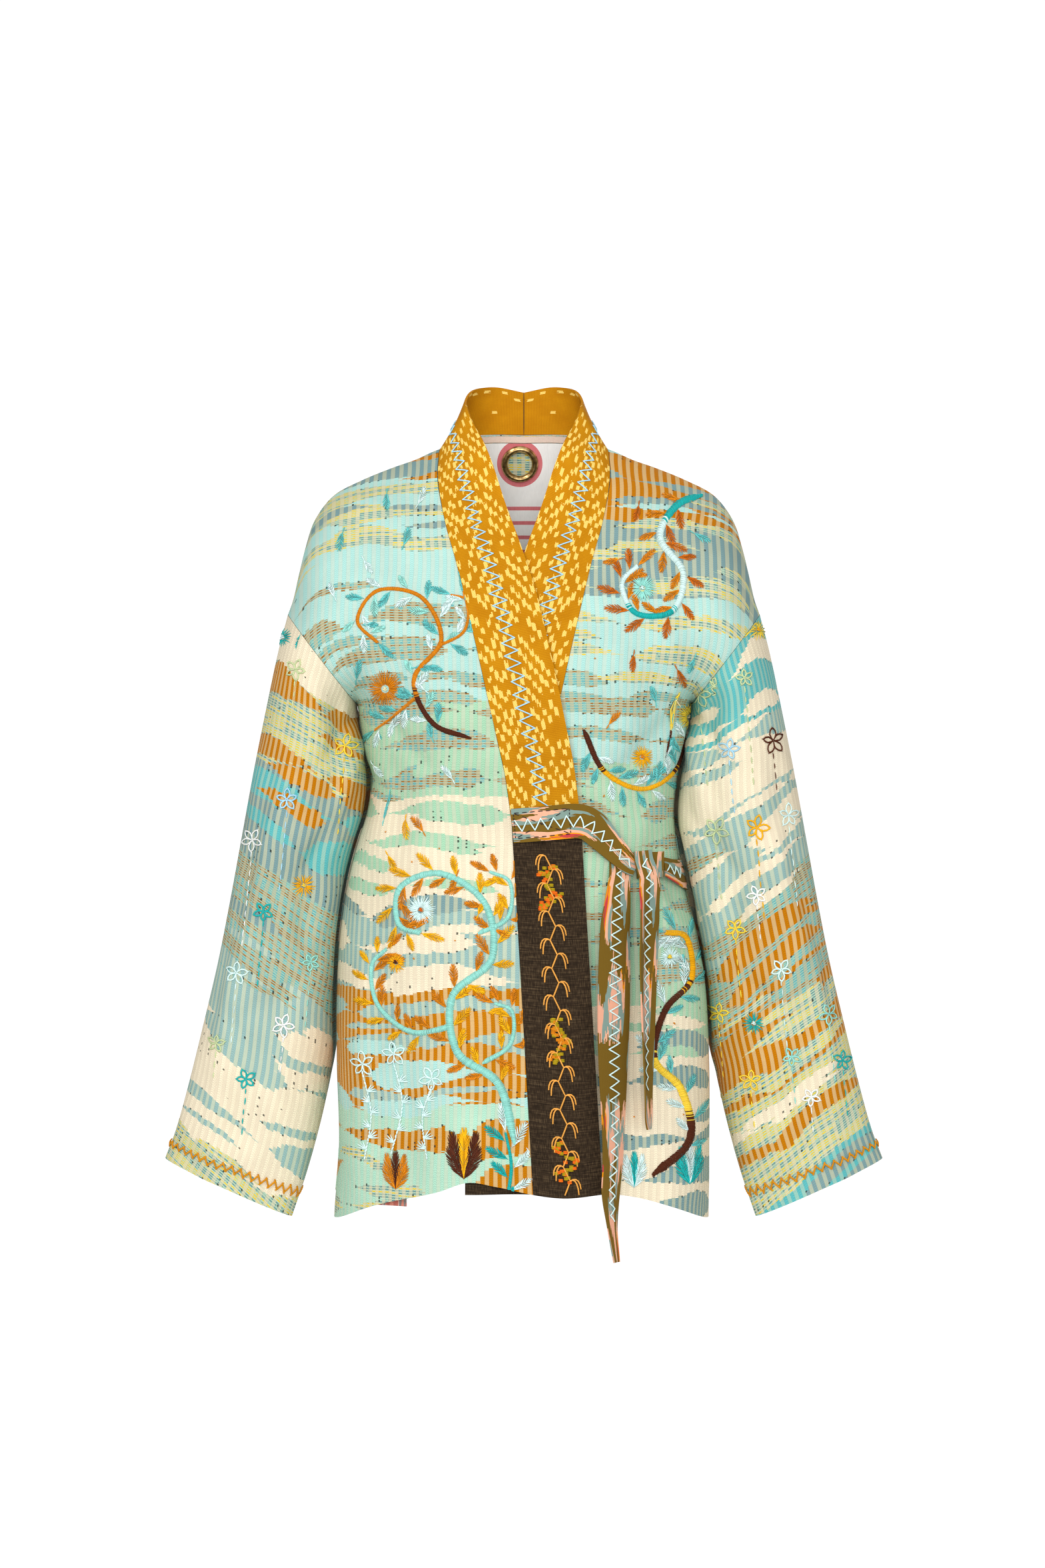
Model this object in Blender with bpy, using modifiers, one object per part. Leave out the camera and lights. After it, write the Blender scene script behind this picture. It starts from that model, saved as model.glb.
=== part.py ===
"""Wrap jacket of striped cotton, filled out as worn and tied at the wearer's left.

Metres, +Z up. The front faces -Y and the wearer's right is -X. The origin is the middle
of the neck, level with the shoulders, where the wearer carries the jacket.

Each cloth piece is a grid of points on its outer face and a wall behind it. The trunk is
one smooth surface, and fronts, collar, bands and ties all take their points from it.
"""

import math

import bmesh
import bpy
import numpy as np
from mathutils import Vector
from mathutils.bvhtree import BVHTree

COLLECTION = "wrap_jacket"
RIGHT, LEFT = -1, 1

# Thickness of the walls, and the gap at a seam
WALL = 0.0016
BAND_WALL = 0.0030
TIE_WALL = 0.0020
PANEL_WALL = 0.0010
SEAM = 0.0003
HALF_SEAM = SEAM / 2
LAID = 0.0006

# Levels of the trunk, and the power of its rounded cross-section
UNDERARM_Z = -0.238
WAIST_Z = -0.345
SIDE_HEM_Z = -0.697
TRUNK_POWER = 2.4
CHEST_POWER = 0.8

# The bands stand this far out of the cloth, and the right front laps this far over the left
BAND_PROUD = 0.0007
LAP = 0.0045
LAP_X = (-0.140, -0.070)
LAP_Z = (-0.045, -0.095)

# Rows and columns of the grids
SKIRT_ROWS = 10
CHEST_ROWS = 4
YOKE_ROWS = 10
NECK_COLUMNS = 5
FRONT_COLUMNS = 10
BAND_COLUMNS = 3


def table(names, rows):
    """The table's columns by name."""
    return {name: np.array(column) for name, column in zip(names.split(), zip(*rows))}


# Half-widths and depths of the trunk, from the hem up
TRUNK = table(
    "z right left front back",
    [
        (-0.730, 0.171, 0.166, 0.126, 0.121),
        (-0.690, 0.170, 0.166, 0.126, 0.121),
        (-0.640, 0.166, 0.166, 0.124, 0.119),
        (-0.560, 0.168, 0.166, 0.120, 0.116),
        (-0.490, 0.168, 0.162, 0.114, 0.110),
        (-0.440, 0.165, 0.154, 0.108, 0.104),
        (-0.395, 0.158, 0.143, 0.102, 0.099),
        (-0.360, 0.149, 0.137, 0.098, 0.096),
        (-0.335, 0.141, 0.135, 0.099, 0.095),
        (-0.310, 0.138, 0.137, 0.102, 0.097),
        (-0.280, 0.141, 0.142, 0.108, 0.102),
        (-0.238, 0.150, 0.150, 0.112, 0.108),
    ],
)

# The line over the shoulder, from the middle of the neck to the head of the armhole seam
SHOULDER = table(
    "x z",
    [
        (0.000, 0.002),
        (0.040, -0.001),
        (0.0745, -0.008),
        (0.098, -0.018),
        (0.118, -0.025),
        (0.145, -0.036),
        (0.171, -0.050),
        (0.188, -0.072),
        (0.196, -0.096),
        (0.202, -0.121),
        (0.207, -0.143),
        (0.212, -0.157),
    ],
)
NECK_POINT = 2
ARMHOLE_TOP = (0.212, -0.157)
ARMHOLE_LOW = (0.150, -0.238)
ARMHOLE_DEPTH = 0.073

# Collar from the centre back to the front waist, for the left side: seam edge and free edge
COLLAR_NECK = table(
    "seam_x seam_y seam_z free_x free_y free_z",
    [
        (0.0000, 0.054, 0.009, 0.0000, 0.064, 0.0485),
        (0.0280, 0.050, 0.009, 0.0260, 0.058, 0.053),
        (0.0520, 0.038, 0.006, 0.0450, 0.038, 0.049),
        (0.0660, 0.020, -0.001, 0.0525, 0.014, 0.038),
        (0.0745, 0.000, -0.008, 0.0510, -0.005, 0.028),
        (0.0760, -0.013, -0.019, 0.0450, -0.015, 0.013),
        (0.0765, -0.029, -0.035, 0.0360, -0.029, -0.004),
        (0.0740, -0.046, -0.056, 0.0270, -0.044, -0.027),
        (0.0685, -0.064, -0.083, 0.0155, -0.063, -0.064),
    ],
)
COLLAR_CHEST = table(
    "seam_x seam_z free_x free_z",
    [
        (0.0600, -0.113, 0.0030, -0.099),
        (0.0505, -0.152, -0.0105, -0.141),
        (0.0415, -0.190, -0.0195, -0.178),
        (0.0308, -0.238, -0.0300, -0.226),
        (0.0240, -0.268, -0.0365, -0.258),
        (0.0165, -0.302, -0.0440, -0.296),
        (0.0105, -0.345, -0.0500, -0.345),
    ],
)
COLLAR_NECK_POINT = 4
COLLAR_UNDERARM = 12
COLLAR_WAIST = 15

# Seam and free edges of the bands at the waist and at the hem
BAND_EDGES = {
    RIGHT: {"seam": (-0.0105, 0.0080), "free": (0.0500, 0.0685)},
    LEFT: {"seam": (0.0105, 0.0070), "free": (-0.0500, -0.0510)},
}

# Hems, by x
HEM_RIGHT = table(
    "x z",
    [
        (-0.170, -0.697),
        (-0.139, -0.682),
        (-0.110, -0.673),
        (-0.075, -0.664),
        (-0.048, -0.655),
        (-0.024, -0.659),
        (0.008, -0.666),
        (0.034, -0.669),
        (0.070, -0.666),
    ],
)
HEM_LEFT = table(
    "x z",
    [
        (-0.052, -0.666),
        (0.007, -0.666),
        (0.087, -0.668),
        (0.130, -0.680),
        (0.166, -0.697),
    ],
)
HEM_BACK = table("x z", [(0.000, -0.676), (0.060, -0.678), (0.120, -0.686), (0.170, -0.697)])

# Main folds of the fronts and the back: a soft ridge, or a trough where the height is negative.
# A fold fades beyond its ends over its half-width times FOLD_FADE
FOLD_FADE = 1.4

# Folds die out at the side seams: this power of the share of the half-width
SIDE_CALM = 6
FRONT_FOLDS = table(
    "x0 z0 x1 z1 half_width height",
    [
        (-0.118, -0.225, -0.112, -0.350, 0.015, -0.0050),
        (-0.098, -0.110, -0.106, -0.215, 0.018, -0.0025),
        (-0.088, -0.420, -0.048, -0.670, 0.028, 0.0055),
        (-0.132, -0.400, -0.118, -0.690, 0.018, -0.0045),
        (-0.010, -0.430, -0.012, -0.680, 0.024, -0.0030),
        (0.116, -0.225, 0.110, -0.330, 0.015, -0.0050),
        (0.098, -0.110, 0.106, -0.215, 0.018, -0.0025),
        (0.128, -0.400, 0.100, -0.350, 0.012, 0.0030),
        (0.118, -0.430, 0.134, -0.690, 0.018, 0.0045),
        (0.100, -0.420, 0.100, -0.690, 0.014, -0.0035),
    ],
)
BACK_FOLDS = table(
    "x0 z0 x1 z1 half_width height",
    [
        (-0.112, -0.190, -0.104, -0.330, 0.018, -0.0050),
        (0.110, -0.200, 0.116, -0.340, 0.018, -0.0050),
        (-0.060, -0.360, -0.082, -0.690, 0.026, 0.0050),
        (0.016, -0.350, 0.010, -0.690, 0.030, -0.0035),
        (0.078, -0.380, 0.092, -0.690, 0.024, 0.0050),
        (-0.128, -0.430, -0.134, -0.690, 0.018, -0.0040),
    ],
)

# Sleeve from the armhole to the cuff: outer and inner edge, half-depth, middle and roundness
SLEEVE = table(
    "outer_x outer_z inner_x inner_z depth middle_y power",
    [
        (0.212, -0.157, 0.1500, -0.238, 0.073, 0.000, 2.0),
        (0.221, -0.192, 0.1505, -0.262, 0.071, 0.000, 2.2),
        (0.231, -0.240, 0.1510, -0.296, 0.068, 0.001, 2.6),
        (0.242, -0.295, 0.1510, -0.342, 0.066, 0.002, 2.8),
        (0.253, -0.355, 0.1540, -0.394, 0.063, 0.002, 2.8),
        (0.264, -0.415, 0.1600, -0.446, 0.060, 0.002, 2.8),
        (0.275, -0.470, 0.1640, -0.498, 0.056, 0.001, 2.7),
        (0.288, -0.525, 0.1710, -0.552, 0.050, 0.000, 2.5),
        (0.301, -0.578, 0.1810, -0.606, 0.042, -0.003, 2.3),
        (0.312, -0.618, 0.1940, -0.655, 0.034, -0.006, 2.2),
        (0.322, -0.645, 0.2080, -0.697, 0.027, -0.008, 2.1),
    ],
)
SLEEVE_ROWS = 17

# The sleeve is full at its head and settles by this row of the table. Its inner side lies on
# the trunk down to the hand's level, with this much clearance, softened where it first touches
SETTLED_ROW = 1.2
SLEEVE_CLEAR = 0.0030
SLEEVE_PRESS, PRESS_Z = 0.003, (-0.57, -0.52)
SLEEVE_SOFT = 0.0025
INNER_SIDE = 0.35

# The inner side's front stands this far from the trunk and its back this far into it
SLEEVE_SKEW, SKEW_Z = 0.014, (-0.64, -0.50)

# Room for the side tie under the left sleeve
TIE_ROOM, TIE_ROOM_Z, TIE_ROOM_REACH = 0.0032, -0.391, 0.035

# Spacing of the sleeve table's rows and girth of the sleeve, as its folds measure them
SLEEVE_SPACING, SLEEVE_GIRTH = 0.052, 0.36

# Folds of a sleeve: row of the table above, and turn round it in parts of a whole from the
# underarm over the front
SLEEVE_FOLDS = table(
    "row0 turn0 row1 turn1 half_width height",
    [
        (0.8, 0.14, 4.5, 0.20, 0.014, -0.0060),
        (1.0, 0.24, 5.5, 0.30, 0.015, 0.0045),
        (4.5, 0.16, 8.5, 0.27, 0.014, -0.0045),
        (6.0, 0.36, 9.5, 0.30, 0.013, 0.0035),
        (1.5, 0.80, 5.0, 0.74, 0.015, -0.0050),
        (4.0, 0.66, 8.5, 0.72, 0.015, 0.0040),
    ],
)

# Below this level the ties hang straight down. SLOPE_STEP is for slopes of the front
FRONT_LOW_Z = -0.660
SLOPE_STEP = 0.002

# Ties: middle, width, turn about the length in degrees, and lift of the outer face
TIE_FRONT = table(
    "x z width turn lift",
    [
        (-0.0100, -0.3460, 0.0310, 0, 0.0088),
        (0.0200, -0.3435, 0.0310, 0, 0.0088),
        (0.0440, -0.3415, 0.0310, 0, 0.0088),
        (0.0560, -0.3450, 0.0300, 0, 0.0088),
        (0.0650, -0.3540, 0.0270, 0, 0.0080),
        (0.0750, -0.3650, 0.0230, 0, 0.0070),
        (0.0850, -0.3760, 0.0190, 0, 0.0070),
        (0.0905, -0.3812, 0.0170, 0, 0.0072),
        (0.0954, -0.3834, 0.0160, 0, 0.0074),
    ],
)
TIE_FRONT_TAIL = table(
    "x z width turn lift",
    [
        (0.0835, -0.3700, 0.0180, 0, 0.0034),
        (0.0832, -0.3820, 0.0182, 0, 0.0034),
        (0.0822, -0.3930, 0.0188, 4, 0.0052),
        (0.0790, -0.4180, 0.0236, 12, 0.0085),
        (0.0769, -0.4434, 0.0288, 20, 0.0105),
        (0.0757, -0.5050, 0.0310, 22, 0.0110),
        (0.0751, -0.5560, 0.0300, 28, 0.0115),
        (0.0749, -0.6070, 0.0258, 34, 0.0125),
        (0.0740, -0.6400, 0.0231, 36, 0.0130),
        (0.0725, -0.6650, 0.0209, 36, 0.0130),
        (0.0739, -0.6950, 0.0115, 36, 0.0120),
        (0.0774, -0.7250, 0.0064, 30, 0.0110),
    ],
)
TIE_SIDE_TAIL = table(
    "x z width turn lift",
    [
        (0.0986, -0.3690, 0.0141, 0, 0.0120),
        (0.0997, -0.3780, 0.0153, 0, 0.0122),
        (0.1023, -0.3870, 0.0164, 0, 0.0122),
        (0.1042, -0.3950, 0.0168, 4, 0.0124),
        (0.1045, -0.4120, 0.0260, 29, 0.0130),
        (0.1044, -0.4320, 0.0310, 37, 0.0135),
        (0.1031, -0.4700, 0.0310, 38, 0.0140),
        (0.1028, -0.5310, 0.0310, 45, 0.0145),
        (0.1032, -0.5830, 0.0280, 51, 0.0140),
        (0.1071, -0.6107, 0.0070, 40, 0.0120),
    ],
)
INNER_TIE = table(
    "x z width turn lift",
    [
        (-0.1180, -0.3500, 0.0300, 0, -0.0020),
        (-0.1200, -0.4300, 0.0310, 0, -0.0045),
        (-0.1220, -0.5200, 0.0310, 0, -0.0060),
        (-0.1230, -0.6100, 0.0310, 0, -0.0070),
        (-0.1235, -0.6790, 0.0310, 0, -0.0080),
    ],
)
TIE_STEPS = 2

# The side tie runs round the trunk: angle from the side in degrees
TIE_SIDE = table(
    "angle z width lift",
    [
        (3.0, -0.3920, 0.0270, 0.0029),
        (14.0, -0.3905, 0.0260, 0.0031),
        (26.0, -0.3875, 0.0210, 0.0048),
        (35.2, -0.3840, 0.0170, 0.0075),
    ],
)

# Middle of the knot under the folded end
KNOT_X = (0.0986, 0.1170)
KNOT_Z = (-0.3930, -0.3705)
KNOT_LIFT = 0.0090
KNOT_DEPTH = 0.0079

# The panels' neck edge stands back from the collar's thicker foot
NECK_EASE = 0.0008

# Inside the back neck: edges of the tape and the panel, in rows of the back below its top
TAPE_TOP_SHARE = 0.02
TAPE_SHARE = 0.24
PANEL_TOP_SHARE = 0.27
PANEL_ROWS = 5
EYELET_X, EYELET_Z = -0.0037, -0.0165
EYELET_OUTER, EYELET_HOLE, EYELET_THICK = 0.0342, 0.0220, 0.0030
PANEL_HOLE = 0.0240
EYELET_STEPS, EYELET_SECTION = 32, 9
PROBE_REACH = 0.01

# Colours of the cloth and the metal
MINT = (0.45, 0.70, 0.62)
SEA = (0.36, 0.58, 0.62)
MUSTARD = (0.60, 0.33, 0.05)
BROWN_BLACK = (0.045, 0.032, 0.025)
OLIVE = (0.16, 0.12, 0.05)
PINK = (0.75, 0.42, 0.36)
OFF_WHITE = (0.80, 0.77, 0.73)
BRASS = (0.30, 0.22, 0.12)


def smooth(knots, values, at):
    """A smooth curve through the values at the rising knots."""
    slopes = np.gradient(values, knots)
    at = np.clip(at, knots[0], knots[-1])
    low = np.clip(np.searchsorted(knots, at, side="right") - 1, 0, len(knots) - 2)
    step = knots[low + 1] - knots[low]
    u = (at - knots[low]) / step
    start = (2 * u**3 - 3 * u**2 + 1) * values[low] + (u**3 - 2 * u**2 + u) * step * slopes[low]
    end = (3 * u**2 - 2 * u**3) * values[low + 1] + (u**3 - u**2) * step * slopes[low + 1]
    return start + end


def by_row(rows, name, at):
    """A column of a table, read smoothly between its rows."""
    values = rows[name]
    return smooth(np.arange(len(values), dtype=float), values, at)


def ramp(value, start, end):
    """0 before start, 1 after end, soft between."""
    u = np.clip((value - start) / (end - start), 0, 1)
    return u * u * (3 - 2 * u)


def trunk(name, z):
    return smooth(TRUNK["z"], TRUNK[name], z)


def half_width(x, z):
    return np.where(x > 0, trunk("left", z), trunk("right", z))


def fold_height(folds, x, z):
    """Height of the soft folds at x and z, which fade at both ends of each fold."""
    total = np.zeros(np.broadcast(x, z).shape)
    for x0, z0, x1, z1, wide, height in zip(*folds.values()):
        length = math.hypot(x1 - x0, z1 - z0)
        along = ((x - x0) * (x1 - x0) + (z - z0) * (z1 - z0)) / length
        aside = ((x - x0) * (z1 - z0) - (z - z0) * (x1 - x0)) / length
        past = np.maximum(np.maximum(-along, along - length), 0)
        total = total + height * np.exp(-((aside / wide) ** 2) - (past / (FOLD_FADE * wide)) ** 2)
    return total


def front_y(x, z):
    """Depth of the front's surface below and above the underarm."""
    level = np.minimum(z, UNDERARM_Z)
    share = np.clip(np.abs(x) / half_width(x, level), 0, 1)
    across = (1 - share**TRUNK_POWER) ** (1 / TRUNK_POWER)
    top = np.interp(np.abs(x), SHOULDER["x"], SHOULDER["z"])
    rise = np.clip((top - z) / (top - UNDERARM_Z), 0, 1)
    chest = np.where(z < UNDERARM_Z, 1, np.sin(math.pi / 2 * rise**CHEST_POWER))
    return -trunk("front", level) * across * chest


def front_shift(x, z, over):
    """How far folds, and the lap of the right front over the left, move a front point out."""
    share = np.clip(np.abs(x) / half_width(x, np.minimum(z, UNDERARM_Z)), 0, 1)
    fold = fold_height(FRONT_FOLDS, x, z) * (1 - share**SIDE_CALM)
    return fold + over * LAP * ramp(x, *LAP_X) * ramp(-z, -LAP_Z[0], -LAP_Z[1])


def shift_front(grid, over):
    grid = grid.copy()
    grid[..., 1] -= front_shift(grid[..., 0], grid[..., 2], over)
    return grid


def collar_edge(edge, at):
    """Points of the collar's seam or free edge, for the left side, at rows of its tables."""
    x = np.concatenate([COLLAR_NECK[edge + "_x"], COLLAR_CHEST[edge + "_x"]])
    z = np.concatenate([COLLAR_NECK[edge + "_z"], COLLAR_CHEST[edge + "_z"]])
    laid = front_y(COLLAR_CHEST[edge + "_x"], COLLAR_CHEST[edge + "_z"])
    y = np.concatenate([COLLAR_NECK[edge + "_y"], laid])
    rows = np.arange(len(x), dtype=float)
    points = np.stack([smooth(rows, values, at) for values in (x, y, z)], axis=-1)
    on_chest = at >= len(COLLAR_NECK[edge + "_x"])
    points[..., 1] = np.where(on_chest, front_y(points[..., 0], points[..., 2]), points[..., 1])
    return points


def hem_z(hem, x):
    return smooth(hem["x"], hem["z"], x)


def band_line(side, edge, down):
    """x and z of a band's edge, where down goes from 0 at the waist to 1 at the hem."""
    at_waist, at_hem = BAND_EDGES[side][edge]
    x = at_waist + (at_hem - at_waist) * down
    hem = hem_z(HEM_RIGHT if side == RIGHT else HEM_LEFT, x)
    return x, WAIST_Z + (hem - WAIST_Z) * down


def coons(bottom, top, left, right):
    """A grid between four edges: rows from bottom to top, columns from left to right."""
    s = np.linspace(0, 1, len(left))[:, None, None]
    t = np.linspace(0, 1, len(bottom))[None, :, None]
    ruled = (1 - s) * bottom + s * top + (1 - t) * left[:, None] + t * right[:, None]
    low = (1 - t) * bottom[0] + t * bottom[-1]
    high = (1 - t) * top[0] + t * top[-1]
    return ruled - (1 - s) * low - s * high


def armhole(front, count, shift):
    """Half of the armhole seam from the underarm to its head, shift along the sleeve."""
    low, top = np.array(ARMHOLE_LOW), np.array(ARMHOLE_TOP)
    turn = np.linspace(0, math.pi, count)
    line = low + (top - low) * ((1 - np.cos(turn)) / 2)[:, None]
    along = (top - low) / np.linalg.norm(top - low)
    depth = ARMHOLE_DEPTH * np.sin(turn) * (-1 if front else 1)
    depth = np.where(np.abs(depth) < HALF_SEAM, HALF_SEAM * (-1 if front else 1), depth)
    return np.stack([line[:, 0] + shift * along[1], depth, line[:, 1] - shift * along[0]], -1)


def armhole_normals(front, count):
    """Directions out of the armhole seam, which body and sleeve share over the shoulder."""
    low, top = np.array(ARMHOLE_LOW), np.array(ARMHOLE_TOP)
    along = (top - low) / np.linalg.norm(top - low)
    reach = np.linalg.norm(top - low) / 2
    turn = np.linspace(0, math.pi, count)
    up = -np.cos(turn) / reach
    out = np.sin(turn) / ARMHOLE_DEPTH * (-1 if front else 1)
    normals = np.stack([up * along[0], out, up * along[1]], -1)
    return normals / np.linalg.norm(normals, axis=1)[:, None]


def shoulder_line(columns, front):
    """The shoulder seam from the neck point to the armhole's head, evenly spaced."""
    rows = np.linspace(NECK_POINT, len(SHOULDER["x"]) - 1, 400)
    x, z = by_row(SHOULDER, "x", rows), by_row(SHOULDER, "z", rows)
    run = np.concatenate([[0], np.cumsum(np.hypot(np.diff(x), np.diff(z)))])
    even = np.linspace(0, run[-1], columns + 1)
    y = np.full(columns + 1, -HALF_SEAM if front else HALF_SEAM)
    points = np.stack([np.interp(even, run, x), y, np.interp(even, run, z)], -1)
    points[0, 0] += NECK_EASE
    return points


def chest_levels():
    """Levels of the rows from the waist to the underarm."""
    rows = np.linspace(COLLAR_WAIST, COLLAR_UNDERARM, CHEST_ROWS + 1)
    return collar_edge("seam", rows)[:, 2]


def front_row(side, z_side, edge_x):
    """x along a row of a front panel from its front edge to the side seam, with equal turns."""
    width = trunk("left" if side == LEFT else "right", z_side)
    share = (side * edge_x + HALF_SEAM) / width
    start = math.acos(math.copysign(abs(share) ** (TRUNK_POWER / 2), share))
    turns = np.linspace(start, 0, FRONT_COLUMNS + 1)
    cosine = np.cos(turns)
    return side * width * np.sign(cosine) * np.abs(cosine) ** (2 / TRUNK_POWER)


def front_panel(side):
    """Outer face of a front: skirt, waist to underarm, and yoke."""
    hem = HEM_LEFT if side == LEFT else HEM_RIGHT
    rows = []
    for down in np.linspace(1, 0, SKIRT_ROWS + 1):
        edge_x, _ = band_line(side, "seam", down)
        z_side = WAIST_Z + (SIDE_HEM_Z - WAIST_Z) * down
        x = front_row(side, z_side, edge_x)
        z = WAIST_Z + (hem_z(hem, x) - WAIST_Z) * down
        z[-1] = z_side
        rows.append(np.stack([x, front_y(x, z), z], -1))
    collar_z = COLLAR_CHEST["seam_z"][::-1]
    collar_row = np.arange(len(collar_z))[::-1] + len(COLLAR_NECK["seam_x"])
    for z in chest_levels()[1:]:
        edge = collar_edge("seam", np.interp([z], collar_z, collar_row))[0]
        x = front_row(side, z, side * edge[0])
        level_z = np.full(len(x), z)
        rows.append(np.stack([x, front_y(x, level_z), level_z], -1))
    grid = np.array(rows)
    grid[:, -1, 1] = -HALF_SEAM
    bottom = grid[-1] * (side, 1, 1)
    at = np.linspace(COLLAR_UNDERARM, COLLAR_NECK_POINT, YOKE_ROWS + 1)
    left = collar_edge("seam", at)
    left[:, 0] += HALF_SEAM + NECK_EASE * ramp(left[:, 2], -0.080, -0.030)
    top = shoulder_line(FRONT_COLUMNS, True)
    right = armhole(True, YOKE_ROWS + 1, -HALF_SEAM)
    left[0], left[-1] = bottom[0], top[0]
    right[0], right[-1] = bottom[-1], top[-1]
    yoke = coons(bottom, top, left, right) * (side, 1, 1)
    return shift_front(np.concatenate([grid, yoke[1:]]), over=side == RIGHT)


def back_y(x, z):
    share = np.clip(np.abs(x) / half_width(x, z), 0, 1)
    return trunk("back", z) * (1 - share**TRUNK_POWER) ** (1 / TRUNK_POWER)


def back_half(side):
    """Outer face of half the back, from its middle to the side seam."""
    columns = NECK_COLUMNS + FRONT_COLUMNS
    turns = np.linspace(math.pi / 2, 0, columns + 1)
    rows = []
    for down in np.linspace(1, 0, SKIRT_ROWS + 1):
        z_side = WAIST_Z + (SIDE_HEM_Z - WAIST_Z) * down
        width = trunk("left" if side == LEFT else "right", z_side)
        x = side * width * np.cos(turns) ** (2 / TRUNK_POWER)
        z = WAIST_Z + (hem_z(HEM_BACK, np.abs(x)) - WAIST_Z) * down
        z[-1] = z_side
        rows.append(np.stack([x, back_y(x, z), z], -1))
    for level in chest_levels()[1:]:
        width = trunk("left" if side == LEFT else "right", level)
        x = side * width * np.cos(turns) ** (2 / TRUNK_POWER)
        z = np.full(len(x), level)
        rows.append(np.stack([x, back_y(x, z), z], -1))
    grid = np.array(rows)
    grid[:, -1, 1] = HALF_SEAM
    bottom = grid[-1] * (side, 1, 1)
    neck = collar_edge("seam", np.linspace(0, COLLAR_NECK_POINT, NECK_COLUMNS + 1))
    neck[:, 2] -= HALF_SEAM
    neck[:, :2] *= 1 + NECK_EASE / np.linalg.norm(neck[:, :2], axis=1)[:, None]
    top = np.concatenate([neck[:-1], shoulder_line(FRONT_COLUMNS, False)])
    rise = np.linspace(1, 0, YOKE_ROWS + 1)
    spine_y = neck[0, 1] + (bottom[0, 1] - neck[0, 1]) * np.sin(math.pi / 2 * rise)
    spine_z = neck[0, 2] + (UNDERARM_Z - neck[0, 2]) * rise
    left = np.stack([np.zeros(len(rise)), spine_y, spine_z], -1)
    right = armhole(False, YOKE_ROWS + 1, -HALF_SEAM)
    left[0], left[-1] = bottom[0], top[0]
    right[0], right[-1] = bottom[-1], top[-1]
    yoke = coons(bottom, top, left, right) * (side, 1, 1)
    return np.concatenate([grid, yoke[1:]])


def back_panel():
    """Outer face of the whole back, from the right side seam to the left one."""
    right, left = back_half(RIGHT), back_half(LEFT)
    grid = np.concatenate([right[:, ::-1], left[:, 1:]], axis=1)
    x, z = grid[..., 0], grid[..., 2]
    share = np.clip(np.abs(x) / half_width(x, np.minimum(z, UNDERARM_Z)), 0, 1)
    grid[..., 1] += fold_height(BACK_FOLDS, x, z) * (1 - share**SIDE_CALM)
    return grid


def collar_strip(side):
    """Outer face of a collar band, rows from the centre back to the waist."""
    at = np.concatenate(
        [
            np.linspace(0, COLLAR_NECK_POINT, NECK_COLUMNS + 1),
            np.linspace(COLLAR_NECK_POINT, COLLAR_UNDERARM, YOKE_ROWS + 1)[1:],
            np.linspace(COLLAR_UNDERARM, COLLAR_WAIST, CHEST_ROWS + 1)[1:],
        ]
    )
    seam, free = collar_edge("seam", at), collar_edge("free", at)
    across = free - seam
    seam = seam + across / np.linalg.norm(across, axis=1)[:, None] * HALF_SEAM
    columns = np.linspace(0, 1, BAND_COLUMNS + 1)
    grid = seam[:, None] + (free - seam)[:, None] * columns[None, :, None]
    laid = ramp(at, len(COLLAR_NECK["seam_x"]) - 3, len(COLLAR_NECK["seam_x"]))[:, None]
    grid[..., 1] += laid * (front_y(grid[..., 0], grid[..., 2]) - grid[..., 1])
    grid[0, :, 0] = HALF_SEAM
    grid[-1, :, 2] += HALF_SEAM
    grid[..., 0] *= side
    return shift_front(grid, over=side == RIGHT)


def lower_band(side):
    """Outer face of the dark band on a front's edge, rows from the waist to the hem."""
    hem = HEM_LEFT if side == LEFT else HEM_RIGHT
    rows = []
    for down in np.linspace(0, 1, SKIRT_ROWS + 1):
        seam_x = band_line(side, "seam", down)[0] - side * HALF_SEAM
        free_x = band_line(side, "free", down)[0]
        x = np.linspace(seam_x, free_x, BAND_COLUMNS + 1)
        z = WAIST_Z + (hem_z(hem, x) - WAIST_Z) * down
        rows.append(np.stack([x, front_y(x, z), z], -1))
    grid = np.array(rows)
    grid[0, :, 2] -= HALF_SEAM
    return shift_front(grid, over=side == RIGHT)


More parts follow.
